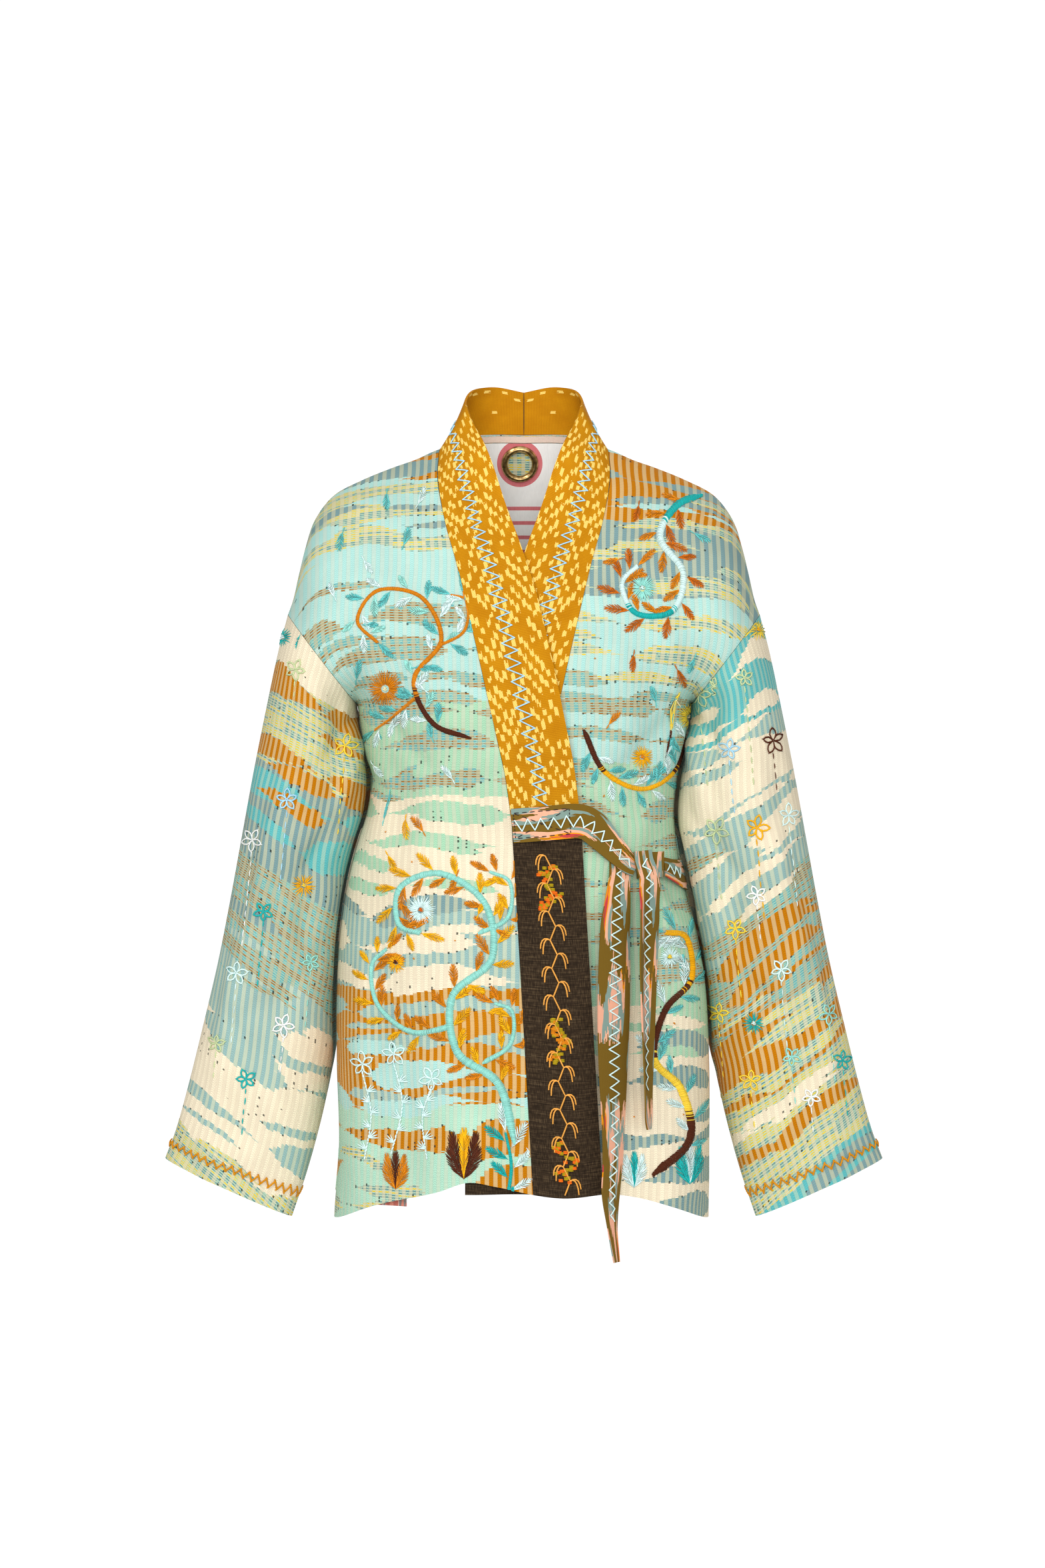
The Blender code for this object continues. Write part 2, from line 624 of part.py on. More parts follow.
def sleeve_tube(side):
    """Outer face of a sleeve: rings from the armhole to the cuff."""
    segments = 2 * YOKE_ROWS
    rows = np.linspace(0, len(SLEEVE["depth"]) - 1, SLEEVE_ROWS)
    turn = np.arange(segments) * 2 * math.pi / segments
    rings = []
    for row in rows:
        outer_x, outer_z, inner_x, inner_z, depth, middle_y, power = (
            float(by_row(SLEEVE, name, np.array(row))) for name in SLEEVE
        )
        settled = float(ramp(row, 0, SETTLED_ROW))
        torso = float(trunk("left" if side == LEFT else "right", max(inner_z, SIDE_HEM_Z)))
        pressed = min(inner_x, torso - SLEEVE_PRESS)
        inner_x += settled * (pressed - inner_x) * float(ramp(inner_z, *PRESS_Z))
        out = -np.sign(np.cos(turn)) * np.abs(np.cos(turn)) ** (2 / power)
        fore = -np.sign(np.sin(turn)) * np.abs(np.sin(turn)) ** (2 / power)
        x = (outer_x + inner_x) / 2 + out * (outer_x - inner_x) / 2
        z = (outer_z + inner_z) / 2 + out * (outer_z - inner_z) / 2
        y = middle_y + fore * depth
        inward = (1 - out) / 2
        x = x - settled * SLEEVE_SKEW * fore * inward * float(ramp(inner_z, *SKEW_Z))
        x, y = add_sleeve_folds(x, y, row, turn, (outer_x + inner_x) / 2, middle_y)
        limit = torso_side(side, y, z) + SLEEVE_CLEAR * settled
        if side == LEFT:
            limit = limit + TIE_ROOM * np.exp(-(((z - TIE_ROOM_Z) / TIE_ROOM_REACH) ** 4))
        past = x - limit
        soft = SLEEVE_SOFT * settled
        x = np.where(inward > INNER_SIDE, limit + (past + np.sqrt(past**2 + soft**2)) / 2, x)
        rings.append(np.stack([x, y, z], -1))
    grid = np.array(rings)
    grid[0] = sleeve_head()
    return grid * (side, 1, 1)


def sleeve_head():
    """The sleeve's first ring, a seam's gap away from the armhole of the body."""
    front = armhole(True, YOKE_ROWS + 1, HALF_SEAM)
    back = armhole(False, YOKE_ROWS + 1, HALF_SEAM)
    front[0, 1] = front[-1, 1] = 0
    ring = np.concatenate([front, back[-2:0:-1]])
    ring[0, 0] += SEAM
    return ring


def add_sleeve_folds(x, y, row, turn, middle_x, middle_y):
    """Move a ring's points in or out along its folds."""
    reach = np.hypot(x - middle_x, y - middle_y)
    height = np.zeros(len(turn))
    for row0, turn0, row1, turn1, wide, high in zip(*SLEEVE_FOLDS.values()):
        share = np.clip((row - row0) / (row1 - row0), 0, 1)
        past = max(row0 - row, row - row1, 0) * SLEEVE_SPACING
        aside = (turn / (2 * math.pi) - (turn0 + (turn1 - turn0) * share)) * SLEEVE_GIRTH
        height = height + high * np.exp(-((aside / wide) ** 2) - (past / (2 * wide)) ** 2)
    return x + (x - middle_x) / reach * height, y + (y - middle_y) / reach * height


def torso_side(side, y, z):
    """Half-width of the trunk at a depth and a height, for the side in question."""
    level = np.minimum(z, UNDERARM_Z)
    width = trunk("left" if side == LEFT else "right", level)
    depth = np.where(y < 0, trunk("front", level), trunk("back", level))
    share = np.clip(np.abs(y) / depth, 0, 1)
    return width * (1 - share**TRUNK_POWER) ** (1 / TRUNK_POWER)


def on_front(x, z, lift):
    """A point lifted from the front's surface along its normal."""
    level = np.maximum(z, FRONT_LOW_Z)
    step = SLOPE_STEP

    def depth(px, pz):
        return front_y(px, pz) - front_shift(px, pz, over=False)

    slope_x = (depth(x + step, level) - depth(x - step, level)) / (2 * step)
    slope_z = (depth(x, level + step) - depth(x, level - step)) / (2 * step)
    normal = np.stack([slope_x, -np.ones_like(slope_x), slope_z], -1)
    normal /= np.linalg.norm(normal, axis=-1)[..., None]
    return np.stack([x, depth(x, level), z], -1) + normal * np.asarray(lift)[..., None]


def tie_strip(rows, columns=2):
    """Outer face of a tie: it follows the front, and turns about its length."""
    count = len(rows["x"])
    at = np.linspace(0, count - 1, (count - 1) * TIE_STEPS + 1)
    x, z, width, turn, lift = (by_row(rows, name, at) for name in ("x", "z", "width", "turn", "lift"))
    run_x, run_z = np.gradient(x), np.gradient(z)
    length = np.hypot(run_x, run_z)
    side_x, side_z = run_z / length, -run_x / length
    across = np.linspace(-0.5, 0.5, columns + 1)[None] * width[:, None]
    flat = across * np.cos(np.radians(turn))[:, None]
    raised = across * np.sin(np.radians(turn))[:, None]
    place_x = x[:, None] + flat * side_x[:, None]
    place_z = z[:, None] + flat * side_z[:, None]
    return on_front(place_x, place_z, lift[:, None] + raised)


def side_tie_strip(columns=2):
    """Outer face of the side tie, round the trunk from the side seam to the knot."""
    count = len(TIE_SIDE["angle"])
    at = np.linspace(0, count - 1, (count - 1) * TIE_STEPS + 1)
    angle, z, width, lift = (by_row(TIE_SIDE, name, at) for name in ("angle", "z", "width", "lift"))
    across = np.linspace(0.5, -0.5, columns + 1)[None] * width[:, None]
    level = z[:, None] + across
    turn = np.radians(angle)[:, None] + 0 * across

    def place(a, h):
        x = trunk("left", h) * np.cos(a) ** (2 / TRUNK_POWER)
        y = -trunk("front", h) * np.sin(a) ** (2 / TRUNK_POWER)
        return np.stack([x, y - front_shift(x, h, over=False), h], -1)

    step = SLOPE_STEP
    round_it = place(turn + step, level) - place(turn - step, level)
    up = place(turn, level + step) - place(turn, level - step)
    normal = np.cross(up, round_it)
    normal /= np.linalg.norm(normal, axis=-1)[..., None]
    return place(turn, level) + normal * lift[:, None, None]


def knot_block():
    """Outer face of the knot's middle, a small pad on the front."""
    x = np.linspace(*KNOT_X, 4)[None, :]
    z = np.linspace(*KNOT_Z, 5)[:, None]
    x, z = np.broadcast_arrays(x, z)
    return on_front(x, z, np.full(x.shape, KNOT_LIFT))


def grid_normals(grid, closed, flip):
    """Directions out of a grid at its points, from its neighbours."""
    along = np.gradient(grid, axis=0)
    if closed:
        around = np.roll(grid, -1, axis=1) - np.roll(grid, 1, axis=1)
    else:
        around = np.gradient(grid, axis=1)
    normals = np.cross(around, along) * (-1 if flip else 1)
    return normals / np.linalg.norm(normals, axis=-1)[..., None]


def wall_mesh(name, outer, inner, closed):
    """A closed wall between two grids of points."""
    rows, columns = outer.shape[:2]
    last = columns if closed else columns - 1
    count = rows * columns
    faces = []

    def corner(layer, i, j):
        return layer * count + i * columns + j % columns

    for i in range(rows - 1):
        for j in range(last):
            for half in (((i, j), (i, j + 1), (i + 1, j + 1)), ((i, j), (i + 1, j + 1), (i + 1, j))):
                faces.append([corner(0, *place) for place in half])
                faces.append([corner(1, *place) for place in reversed(half)])
    for i in (0, rows - 1):
        for j in range(last):
            faces.append([corner(0, i, j), corner(0, i, j + 1), corner(1, i, j + 1), corner(1, i, j)])
    if not closed:
        for j in (0, columns - 1):
            for i in range(rows - 1):
                faces.append([corner(0, i, j), corner(0, i + 1, j), corner(1, i + 1, j), corner(1, i, j)])
    points = np.concatenate([outer.reshape(-1, 3), inner.reshape(-1, 3)])
    mesh = bpy.data.meshes.new(name)
    mesh.from_pydata(points.tolist(), [], faces)
    shape = bmesh.new()
    shape.from_mesh(mesh)
    bmesh.ops.recalc_face_normals(shape, faces=shape.faces)
    shape.to_mesh(mesh)
    shape.free()
    mesh.shade_smooth()
    mesh.set_sharp_from_angle(angle=math.radians(50))
    return mesh


def material(name, colour, roughness=0.85, metallic=0.0):
    made = bpy.data.materials.get(name) or bpy.data.materials.new(name)
    made.use_nodes = True
    shader = made.node_tree.nodes["Principled BSDF"]
    shader.inputs["Base Color"].default_value = (*colour, 1)
    shader.inputs["Roughness"].default_value = roughness
    shader.inputs["Metallic"].default_value = metallic
    return made


def add_object(name, mesh, made):
    piece = bpy.data.objects.new(name, mesh)
    piece.data.materials.append(made)
    bpy.data.collections[COLLECTION].objects.link(piece)
    return piece


def cloth(name, outer, wall, made, flip, closed=False, edges=()):
    """A cloth piece: its outer face, with a wall behind it. edges gives shared directions."""
    normals = grid_normals(outer, closed, flip)
    for place, directions in edges:
        normals[place] = directions
    return add_object(name, wall_mesh(name, outer, outer - normals * wall, closed), made)


def level_normals(normals, axis):
    """The same directions without their part along one axis."""
    flat = normals.copy()
    flat[..., axis] = 0
    return flat / np.linalg.norm(flat, axis=-1)[..., None]


def seam_edges(outer, flip, front, side_columns):
    """Directions at the side seams, the shoulder seams and the armholes of a body panel."""
    normals = grid_normals(outer, False, flip)
    first_yoke = SKIRT_ROWS + CHEST_ROWS
    head = armhole_normals(front, YOKE_ROWS + 1)
    upper = YOKE_ROWS // 2
    shoulders = level_normals(normals[-1], 1)
    edges = []
    for column, side in side_columns.items():
        low = np.s_[: first_yoke + 1, column]
        edges.append((low, level_normals(normals[low], 1)))
        edges.append((np.s_[first_yoke + upper :, column], head[upper:] * (side, 1, 1)))
    return shoulders, edges


def build_body():
    cotton = material("striped_cotton", MINT)
    for side, name in ((RIGHT, "front_right"), (LEFT, "front_left")):
        outer = front_panel(side)
        flip = side == RIGHT
        shoulders, edges = seam_edges(outer, flip, True, {-1: side})
        cloth(name, outer, WALL, cotton, flip, edges=[(np.s_[-1, :-1], shoulders[:-1]), *edges])
    outer = back_panel()
    shoulders, edges = seam_edges(outer, True, False, {0: RIGHT, -1: LEFT})
    last = FRONT_COLUMNS + 1
    shared = [(np.s_[-1, part], shoulders[part]) for part in (slice(1, last), slice(-last, -1))]
    cloth("back", outer, WALL, cotton, True, edges=[*shared, *edges])
    return outer


def build_sleeves():
    cotton = material("striped_cotton_sleeve", SEA)
    front = armhole_normals(True, YOKE_ROWS + 1)
    back = armhole_normals(False, YOKE_ROWS + 1)
    head = np.concatenate([front, back[-2:0:-1]])
    for side, name in ((RIGHT, "sleeve_right"), (LEFT, "sleeve_left")):
        edges = [(np.s_[0, :], head * (side, 1, 1))]
        cloth(name, sleeve_tube(side), WALL, cotton, side == LEFT, closed=True, edges=edges)


def stand_out(grid, flip, distance):
    return grid + grid_normals(grid, False, flip) * distance


def build_bands():
    mustard = material("mustard_ikat", MUSTARD)
    dark = material("dark_linen", BROWN_BLACK)
    for side, word in ((RIGHT, "right"), (LEFT, "left")):
        flip = side == RIGHT
        collar = stand_out(collar_strip(side), flip, BAND_PROUD)
        middle = level_normals(grid_normals(collar, False, flip)[0], 0)
        cloth("collar_" + word, collar, BAND_WALL, mustard, flip, edges=[(np.s_[0, :], middle)])
        band = stand_out(lower_band(side), flip, BAND_PROUD)
        cloth("band_" + word, band, BAND_WALL, dark, flip)


def build_ties():
    ikat = material("olive_ikat", OLIVE)
    pink = material("pink_ikat", PINK)
    cloth("tie_front", tie_strip(TIE_FRONT), TIE_WALL, ikat, False)
    cloth("tie_front_tail", tie_strip(TIE_FRONT_TAIL), TIE_WALL, ikat, False)
    cloth("tie_side_tail", tie_strip(TIE_SIDE_TAIL), TIE_WALL, ikat, False)
    cloth("tie_side", side_tie_strip(), TIE_WALL, ikat, True)
    cloth("tie_knot", knot_block(), KNOT_DEPTH, ikat, False)
    cloth("inner_tie", tie_strip(INNER_TIE), TIE_WALL, pink, False)


def inside_strip(back, shares):
    """Points of the back's inner side under the neck seam, at shares of rows below its top."""
    middle = NECK_COLUMNS + FRONT_COLUMNS
    reach = NECK_COLUMNS - 1
    columns = slice(middle - reach, middle + reach + 1)
    inner = back - grid_normals(back, False, True) * (WALL + LAID)
    part = inner[::-1][:, columns]
    rows = [(1 - share % 1) * part[int(share)] + share % 1 * part[int(share) + 1] for share in shares]
    return np.array(rows)[::-1]


def build_neck(back):
    """The tape and the white panel inside the back neck, and the eyelet in the panel."""
    white = material("white_cotton", OFF_WHITE)
    tape = inside_strip(back, (TAPE_TOP_SHARE, TAPE_SHARE))
    cloth("neck_tape", tape, PANEL_WALL, white, True)
    rows = inside_strip(back, (PANEL_TOP_SHARE, *range(1, PANEL_ROWS + 1)))
    panel = cloth("neck_panel", rows, PANEL_WALL, white, True)
    seat_eyelet(panel)


def seat_eyelet(panel):
    """Turn the eyelet's ring to the panel, seat it there and cut the panel's hole."""
    depsgraph = bpy.context.evaluated_depsgraph_get()
    surface = BVHTree.FromObject(panel, depsgraph)
    start = Vector((EYELET_X, 0, EYELET_Z))
    centre, normal, _, _ = surface.ray_cast(start, Vector((0, 1, 0)))
    normal = normal if normal.y < 0 else -normal
    turn = normal.to_track_quat("Z", "Y")
    rim = EYELET_OUTER / 2 - EYELET_THICK / 2
    lift = min_gap(surface, centre, normal, turn, rim)
    ring = eyelet_ring()
    ring.rotation_mode = "QUATERNION"
    ring.rotation_quaternion = turn
    ring.location = centre + normal * (SEAM - lift)
    cut_hole(panel, centre, turn)


def min_gap(surface, centre, normal, turn, rim):
    """How near the panel comes to a flat ring at centre, measured under the ring's rim."""
    gaps = []
    for step in range(EYELET_STEPS):
        angle = 2 * math.pi * step / EYELET_STEPS
        edge = centre + turn @ Vector((rim * math.cos(angle), rim * math.sin(angle), 0))
        hit = surface.ray_cast(edge + normal * PROBE_REACH, -normal)
        gaps.append(hit[3] - PROBE_REACH)
    return min(gaps)


def eyelet_ring():
    """The eyelet, turned from the half-round section of its ring."""
    middle = (EYELET_HOLE + EYELET_OUTER) / 4
    reach = (EYELET_OUTER - EYELET_HOLE) / 4
    turns = np.linspace(math.pi, 0, EYELET_SECTION)
    points = [(middle + reach * math.cos(a), 0, EYELET_THICK * math.sin(a)) for a in turns]
    edges = [(i, (i + 1) % len(points)) for i in range(len(points))]
    mesh = bpy.data.meshes.new("eyelet")
    mesh.from_pydata(points, edges, [])
    ring = add_object("eyelet", mesh, material("antique_brass", BRASS, 0.35, 1.0))
    turned = ring.modifiers.new("turned", "SCREW")
    turned.axis = "Z"
    turned.angle = 2 * math.pi
    turned.steps = turned.render_steps = EYELET_STEPS
    turned.use_smooth_shade = True
    return ring


def cut_hole(panel, centre, turn):
    """Cut the round hole behind the eyelet through the panel."""
    bpy.ops.mesh.primitive_cylinder_add(vertices=EYELET_STEPS, radius=PANEL_HOLE / 2, depth=2 * PROBE_REACH)
    cutter = bpy.context.object
    cutter.name = "eyelet_cutter"
    cutter.rotation_mode = "QUATERNION"
    cutter.rotation_quaternion = turn
    cutter.location = centre
    cutter.hide_render = True
    cutter.display_type = "WIRE"
    for holder in list(cutter.users_collection):
        holder.objects.unlink(cutter)
    bpy.data.collections["cutters"].objects.link(cutter)
    cut = panel.modifiers.new("eyelet_hole", "BOOLEAN")
    cut.operation = "DIFFERENCE"
    cut.object = cutter


def main():
    for item in list(bpy.data.objects):
        bpy.data.objects.remove(item)
    for name in (COLLECTION, "cutters"):
        holder = bpy.data.collections.get(name) or bpy.data.collections.new(name)
        if name not in bpy.context.scene.collection.children:
            bpy.context.scene.collection.children.link(holder)
    back = build_body()
    build_sleeves()
    build_bands()
    build_ties()
    build_neck(back)


main()
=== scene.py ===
"""Looks of the wrap jacket: woven and embroidered cloth on the form of the part's solids.

The shape of the cloth is worked out as in the part's source, on finer grids. The front faces
-Y, the wearer's right is -X, and the origin is the middle of the neck.
"""

import math
import random

import bmesh
import bpy
import numpy as np
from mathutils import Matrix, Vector
from mathutils.bvhtree import BVHTree


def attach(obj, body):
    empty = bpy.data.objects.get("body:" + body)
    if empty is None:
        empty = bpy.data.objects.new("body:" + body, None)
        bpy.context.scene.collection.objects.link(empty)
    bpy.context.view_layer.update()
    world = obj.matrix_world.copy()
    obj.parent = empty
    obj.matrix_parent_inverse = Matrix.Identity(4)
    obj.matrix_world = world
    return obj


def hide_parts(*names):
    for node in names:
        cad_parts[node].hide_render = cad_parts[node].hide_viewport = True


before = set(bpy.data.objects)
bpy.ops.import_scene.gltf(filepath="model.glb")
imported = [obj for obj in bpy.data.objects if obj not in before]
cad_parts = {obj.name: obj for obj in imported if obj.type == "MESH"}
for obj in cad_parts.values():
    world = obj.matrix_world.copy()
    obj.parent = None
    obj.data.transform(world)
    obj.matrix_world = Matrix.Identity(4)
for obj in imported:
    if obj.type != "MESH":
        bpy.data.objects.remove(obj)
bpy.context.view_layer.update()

# Camera: level, in front of the jacket, as far off as its perspective shows
CAMERA_PLACE = (-0.0012, -3.5, -0.3096)
CAMERA_LENS, CAMERA_SENSOR = 89.3, 36.0

# Thickness of the cloth that shows, and the angle from which an edge of it is sharp
SHOWN_WALL = 0.0009
SHOWN_BAND = 0.0020
SHOWN_TIE = 0.0012
SHARP_EDGE = math.radians(50)

# The wearer's sides, by the sign of x
RIGHT, LEFT = -1, 1
SIDES = ((RIGHT, "right"), (LEFT, "left"))

# Thickness of the walls, the gap at a seam, and how far the tape lies off the back's wall
WALL = 0.0016
PANEL_WALL = 0.0010
SEAM = 0.0003
HALF_SEAM = SEAM / 2
LAID = 0.0006

# Levels of the trunk, and the power of its rounded cross-section
UNDERARM_Z = -0.238
WAIST_Z = -0.345
SIDE_HEM_Z = -0.697
TRUNK_POWER = 2.4
CHEST_POWER = 0.8

# The bands stand this far out of the cloth, and the right front laps this far over the left. The
# lap grows over these ranges of x and z
BAND_PROUD = 0.0007
LAP = 0.0045
LAP_X = (-0.140, -0.070)
LAP_Z = (-0.045, -0.095)

# Rows and columns of the grids
SKIRT_ROWS = 60
CHEST_ROWS = 24
YOKE_ROWS = 40
NECK_COLUMNS = 30
FRONT_COLUMNS = 60
BAND_COLUMNS = 16


def table(text):
    """Columns by name: the first line names them, and each line after it is a row."""
    names, *rows = (line.split() for line in text.strip().splitlines())
    return {name: np.array(column, dtype=float) for name, column in zip(names, zip(*rows))}


# Half-widths and depths of the trunk, from the hem up
TRUNK = table("""
    z right left front back
    -0.730 0.171 0.166 0.126 0.121
    -0.690 0.170 0.166 0.126 0.121
    -0.640 0.166 0.166 0.124 0.119
    -0.560 0.168 0.166 0.120 0.116
    -0.490 0.168 0.162 0.114 0.110
    -0.440 0.165 0.154 0.108 0.104
    -0.395 0.158 0.143 0.102 0.099
    -0.360 0.149 0.137 0.098 0.096
    -0.335 0.141 0.135 0.099 0.095
    -0.310 0.138 0.137 0.102 0.097
    -0.280 0.141 0.142 0.108 0.102
    -0.238 0.150 0.150 0.112 0.108
""")

# The line over the shoulder, from the middle of the neck to the head of the armhole seam
SHOULDER = table("""
    x z
    0.000 0.002
    0.040 -0.001
    0.0745 -0.008
    0.098 -0.018
    0.118 -0.025
    0.145 -0.036
    0.171 -0.050
    0.188 -0.072
    0.196 -0.096
    0.202 -0.121
    0.207 -0.143
    0.212 -0.157
""")
NECK_POINT = 2
ARMHOLE_TOP = (0.212, -0.157)
ARMHOLE_LOW = (0.150, -0.238)
ARMHOLE_DEPTH = 0.073

# Collar from the centre back to the front waist, for the left side: seam edge and free edge
COLLAR_NECK = table("""
    seam_x seam_y seam_z free_x free_y free_z
    0.0000 0.054 0.009 0.0000 0.064 0.0485
    0.0280 0.050 0.009 0.0260 0.058 0.053
    0.0520 0.038 0.006 0.0450 0.038 0.049
    0.0660 0.020 -0.001 0.0525 0.014 0.038
    0.0745 0.000 -0.008 0.0510 -0.005 0.028
    0.0760 -0.013 -0.019 0.0450 -0.015 0.013
    0.0765 -0.029 -0.035 0.0360 -0.029 -0.004
    0.0740 -0.046 -0.056 0.0270 -0.044 -0.027
    0.0685 -0.064 -0.083 0.0155 -0.063 -0.064
""")
COLLAR_CHEST = table("""
    seam_x seam_z free_x free_z
    0.0600 -0.113 0.0030 -0.099
    0.0505 -0.152 -0.0105 -0.141
    0.0415 -0.190 -0.0195 -0.178
    0.0308 -0.238 -0.0300 -0.226
    0.0240 -0.268 -0.0365 -0.258
    0.0165 -0.302 -0.0440 -0.296
    0.0105 -0.345 -0.0500 -0.345
""")
COLLAR_NECK_POINT = 4
COLLAR_UNDERARM = 12
COLLAR_WAIST = 15

# Seam and free edges of the bands at the waist and at the hem
BAND_EDGES = {
    RIGHT: {"seam": (-0.0105, 0.0080), "free": (0.0500, 0.0685)},
    LEFT: {"seam": (0.0105, 0.0070), "free": (-0.0500, -0.0510)},
}

# Hems, by x
HEM_RIGHT = table("""
    x z
    -0.170 -0.697
    -0.139 -0.682
    -0.110 -0.673
    -0.075 -0.664
    -0.048 -0.655
    -0.024 -0.659
    0.008 -0.666
    0.034 -0.669
    0.070 -0.666
""")
HEM_LEFT = table("""
    x z
    -0.052 -0.666
    0.007 -0.666
    0.087 -0.668
    0.130 -0.680
    0.166 -0.697
""")
HEM_BACK = table("""
    x z
    0.000 -0.676
    0.060 -0.678
    0.120 -0.686
    0.170 -0.697
""")

# Main folds of the fronts and the back: a soft ridge, or a trough where the height is negative.
# A fold fades beyond its ends over its half-width times FOLD_FADE
FOLD_FADE = 1.4

# Folds die out at the side seams: this power of the share of the half-width
SIDE_CALM = 6
FRONT_FOLDS = table("""
    x0 z0 x1 z1 half_width height
    -0.118 -0.225 -0.112 -0.350 0.015 -0.0050
    -0.098 -0.110 -0.106 -0.215 0.018 -0.0025
    -0.088 -0.420 -0.048 -0.670 0.028 0.0055
    -0.132 -0.400 -0.118 -0.690 0.018 -0.0045
    -0.010 -0.430 -0.012 -0.680 0.024 -0.0030
    0.116 -0.225 0.110 -0.330 0.015 -0.0050
    0.098 -0.110 0.106 -0.215 0.018 -0.0025
    0.128 -0.400 0.100 -0.350 0.012 0.0030
    0.118 -0.430 0.134 -0.690 0.018 0.0045
    0.100 -0.420 0.100 -0.690 0.014 -0.0035
""")
BACK_FOLDS = table("""
    x0 z0 x1 z1 half_width height
    -0.112 -0.190 -0.104 -0.330 0.018 -0.0050
    0.110 -0.200 0.116 -0.340 0.018 -0.0050
    -0.060 -0.360 -0.082 -0.690 0.026 0.0050
    0.016 -0.350 0.010 -0.690 0.030 -0.0035
    0.078 -0.380 0.092 -0.690 0.024 0.0050
    -0.128 -0.430 -0.134 -0.690 0.018 -0.0040
""")

# Sleeve from the armhole to the cuff: outer and inner edge, half-depth, middle and roundness
SLEEVE = table("""
    outer_x outer_z inner_x inner_z depth middle_y power
    0.212 -0.157 0.1500 -0.238 0.073 0.000 2.0
    0.221 -0.192 0.1505 -0.262 0.071 0.000 2.2
    0.231 -0.240 0.1510 -0.296 0.068 0.001 2.6
    0.242 -0.295 0.1510 -0.342 0.066 0.002 2.8
    0.253 -0.355 0.1540 -0.394 0.063 0.002 2.8
    0.264 -0.415 0.1600 -0.446 0.060 0.002 2.8
    0.275 -0.470 0.1640 -0.498 0.056 0.001 2.7
    0.288 -0.525 0.1710 -0.552 0.050 0.000 2.5
    0.301 -0.578 0.1810 -0.606 0.042 -0.003 2.3
    0.312 -0.618 0.1940 -0.655 0.034 -0.006 2.2
    0.322 -0.645 0.2080 -0.697 0.027 -0.008 2.1
""")
SLEEVE_ROWS = 121

# The sleeve is full at its head and settles by this row of the table. Its inner side lies on
# the trunk down to the hand's level, with this much clearance, softened where it first touches
SETTLED_ROW = 1.2
SLEEVE_CLEAR = 0.0030
SLEEVE_PRESS, PRESS_Z = 0.003, (-0.57, -0.52)
SLEEVE_SOFT = 0.0025
INNER_SIDE = 0.35

# The inner side's front stands this far from the trunk and its back this far into it
SLEEVE_SKEW, SKEW_Z = 0.014, (-0.64, -0.50)

# Room for the side tie under the left sleeve
TIE_ROOM, TIE_ROOM_Z, TIE_ROOM_REACH = 0.0032, -0.391, 0.035

# Spacing of the sleeve table's rows and girth of the sleeve, as its folds measure them
SLEEVE_SPACING, SLEEVE_GIRTH = 0.052, 0.36

# Folds of a sleeve: row of the table above, and turn round it in parts of a whole from the
# underarm over the front
SLEEVE_FOLDS = table("""
    row0 turn0 row1 turn1 half_width height
    0.8 0.14 4.5 0.20 0.014 -0.0060
    1.0 0.24 5.5 0.30 0.015 0.0045
    4.5 0.16 8.5 0.27 0.014 -0.0045
    6.0 0.36 9.5 0.30 0.013 0.0035
    1.5 0.80 5.0 0.74 0.015 -0.0050
    4.0 0.66 8.5 0.72 0.015 0.0040
""")

# Below this level the ties hang straight down. Slopes are measured over a step of this length
FRONT_LOW_Z = -0.660
SLOPE_STEP = 0.002

# Ties: middle, width, turn about the length in degrees, and lift of the outer face
TIE_FRONT = table("""
    x z width turn lift
    -0.0100 -0.3460 0.0310 0 0.0088
    0.0200 -0.3435 0.0310 0 0.0088
    0.0440 -0.3415 0.0310 0 0.0088
    0.0560 -0.3450 0.0300 0 0.0088
    0.0650 -0.3540 0.0270 0 0.0080
    0.0750 -0.3650 0.0230 0 0.0070
    0.0850 -0.3760 0.0190 0 0.0070
    0.0905 -0.3812 0.0170 0 0.0072
    0.0954 -0.3834 0.0160 0 0.0074
""")
TIE_FRONT_TAIL = table("""
    x z width turn lift
    0.0835 -0.3700 0.0180 0 0.0034
    0.0832 -0.3820 0.0182 0 0.0034
    0.0822 -0.3930 0.0188 4 0.0052
    0.0790 -0.4180 0.0236 12 0.0085
    0.0769 -0.4434 0.0288 20 0.0105
    0.0757 -0.5050 0.0310 22 0.0110
    0.0751 -0.5560 0.0300 28 0.0115
    0.0749 -0.6070 0.0258 34 0.0125
    0.0740 -0.6400 0.0231 36 0.0130
    0.0725 -0.6650 0.0209 36 0.0130
    0.0739 -0.6950 0.0115 36 0.0120
    0.0774 -0.7250 0.0064 30 0.0110
""")
TIE_SIDE_TAIL = table("""
    x z width turn lift
    0.0986 -0.3690 0.0141 0 0.0120
    0.0997 -0.3780 0.0153 0 0.0122
    0.1023 -0.3870 0.0164 0 0.0122
    0.1042 -0.3950 0.0168 4 0.0124
    0.1045 -0.4120 0.0260 29 0.0130
    0.1044 -0.4320 0.0310 37 0.0135
    0.1031 -0.4700 0.0310 38 0.0140
    0.1028 -0.5310 0.0310 45 0.0145
    0.1032 -0.5830 0.0280 51 0.0140
    0.1071 -0.6107 0.0070 40 0.0120
""")
INNER_TIE = table("""
    x z width turn lift
    -0.1180 -0.3500 0.0300 0 -0.0020
    -0.1200 -0.4300 0.0310 0 -0.0045
    -0.1220 -0.5200 0.0310 0 -0.0060
    -0.1230 -0.6100 0.0310 0 -0.0070
    -0.1235 -0.6790 0.0310 0 -0.0080
""")
TIE_STEPS = 14
TIE_COLUMNS = 12

# The side tie runs round the trunk: angle from the side in degrees
TIE_SIDE = table("""
    angle z width lift
    3.0 -0.3920 0.0270 0.0029
    14.0 -0.3905 0.0260 0.0031
    26.0 -0.3875 0.0210 0.0048
    35.2 -0.3840 0.0170 0.0075
""")

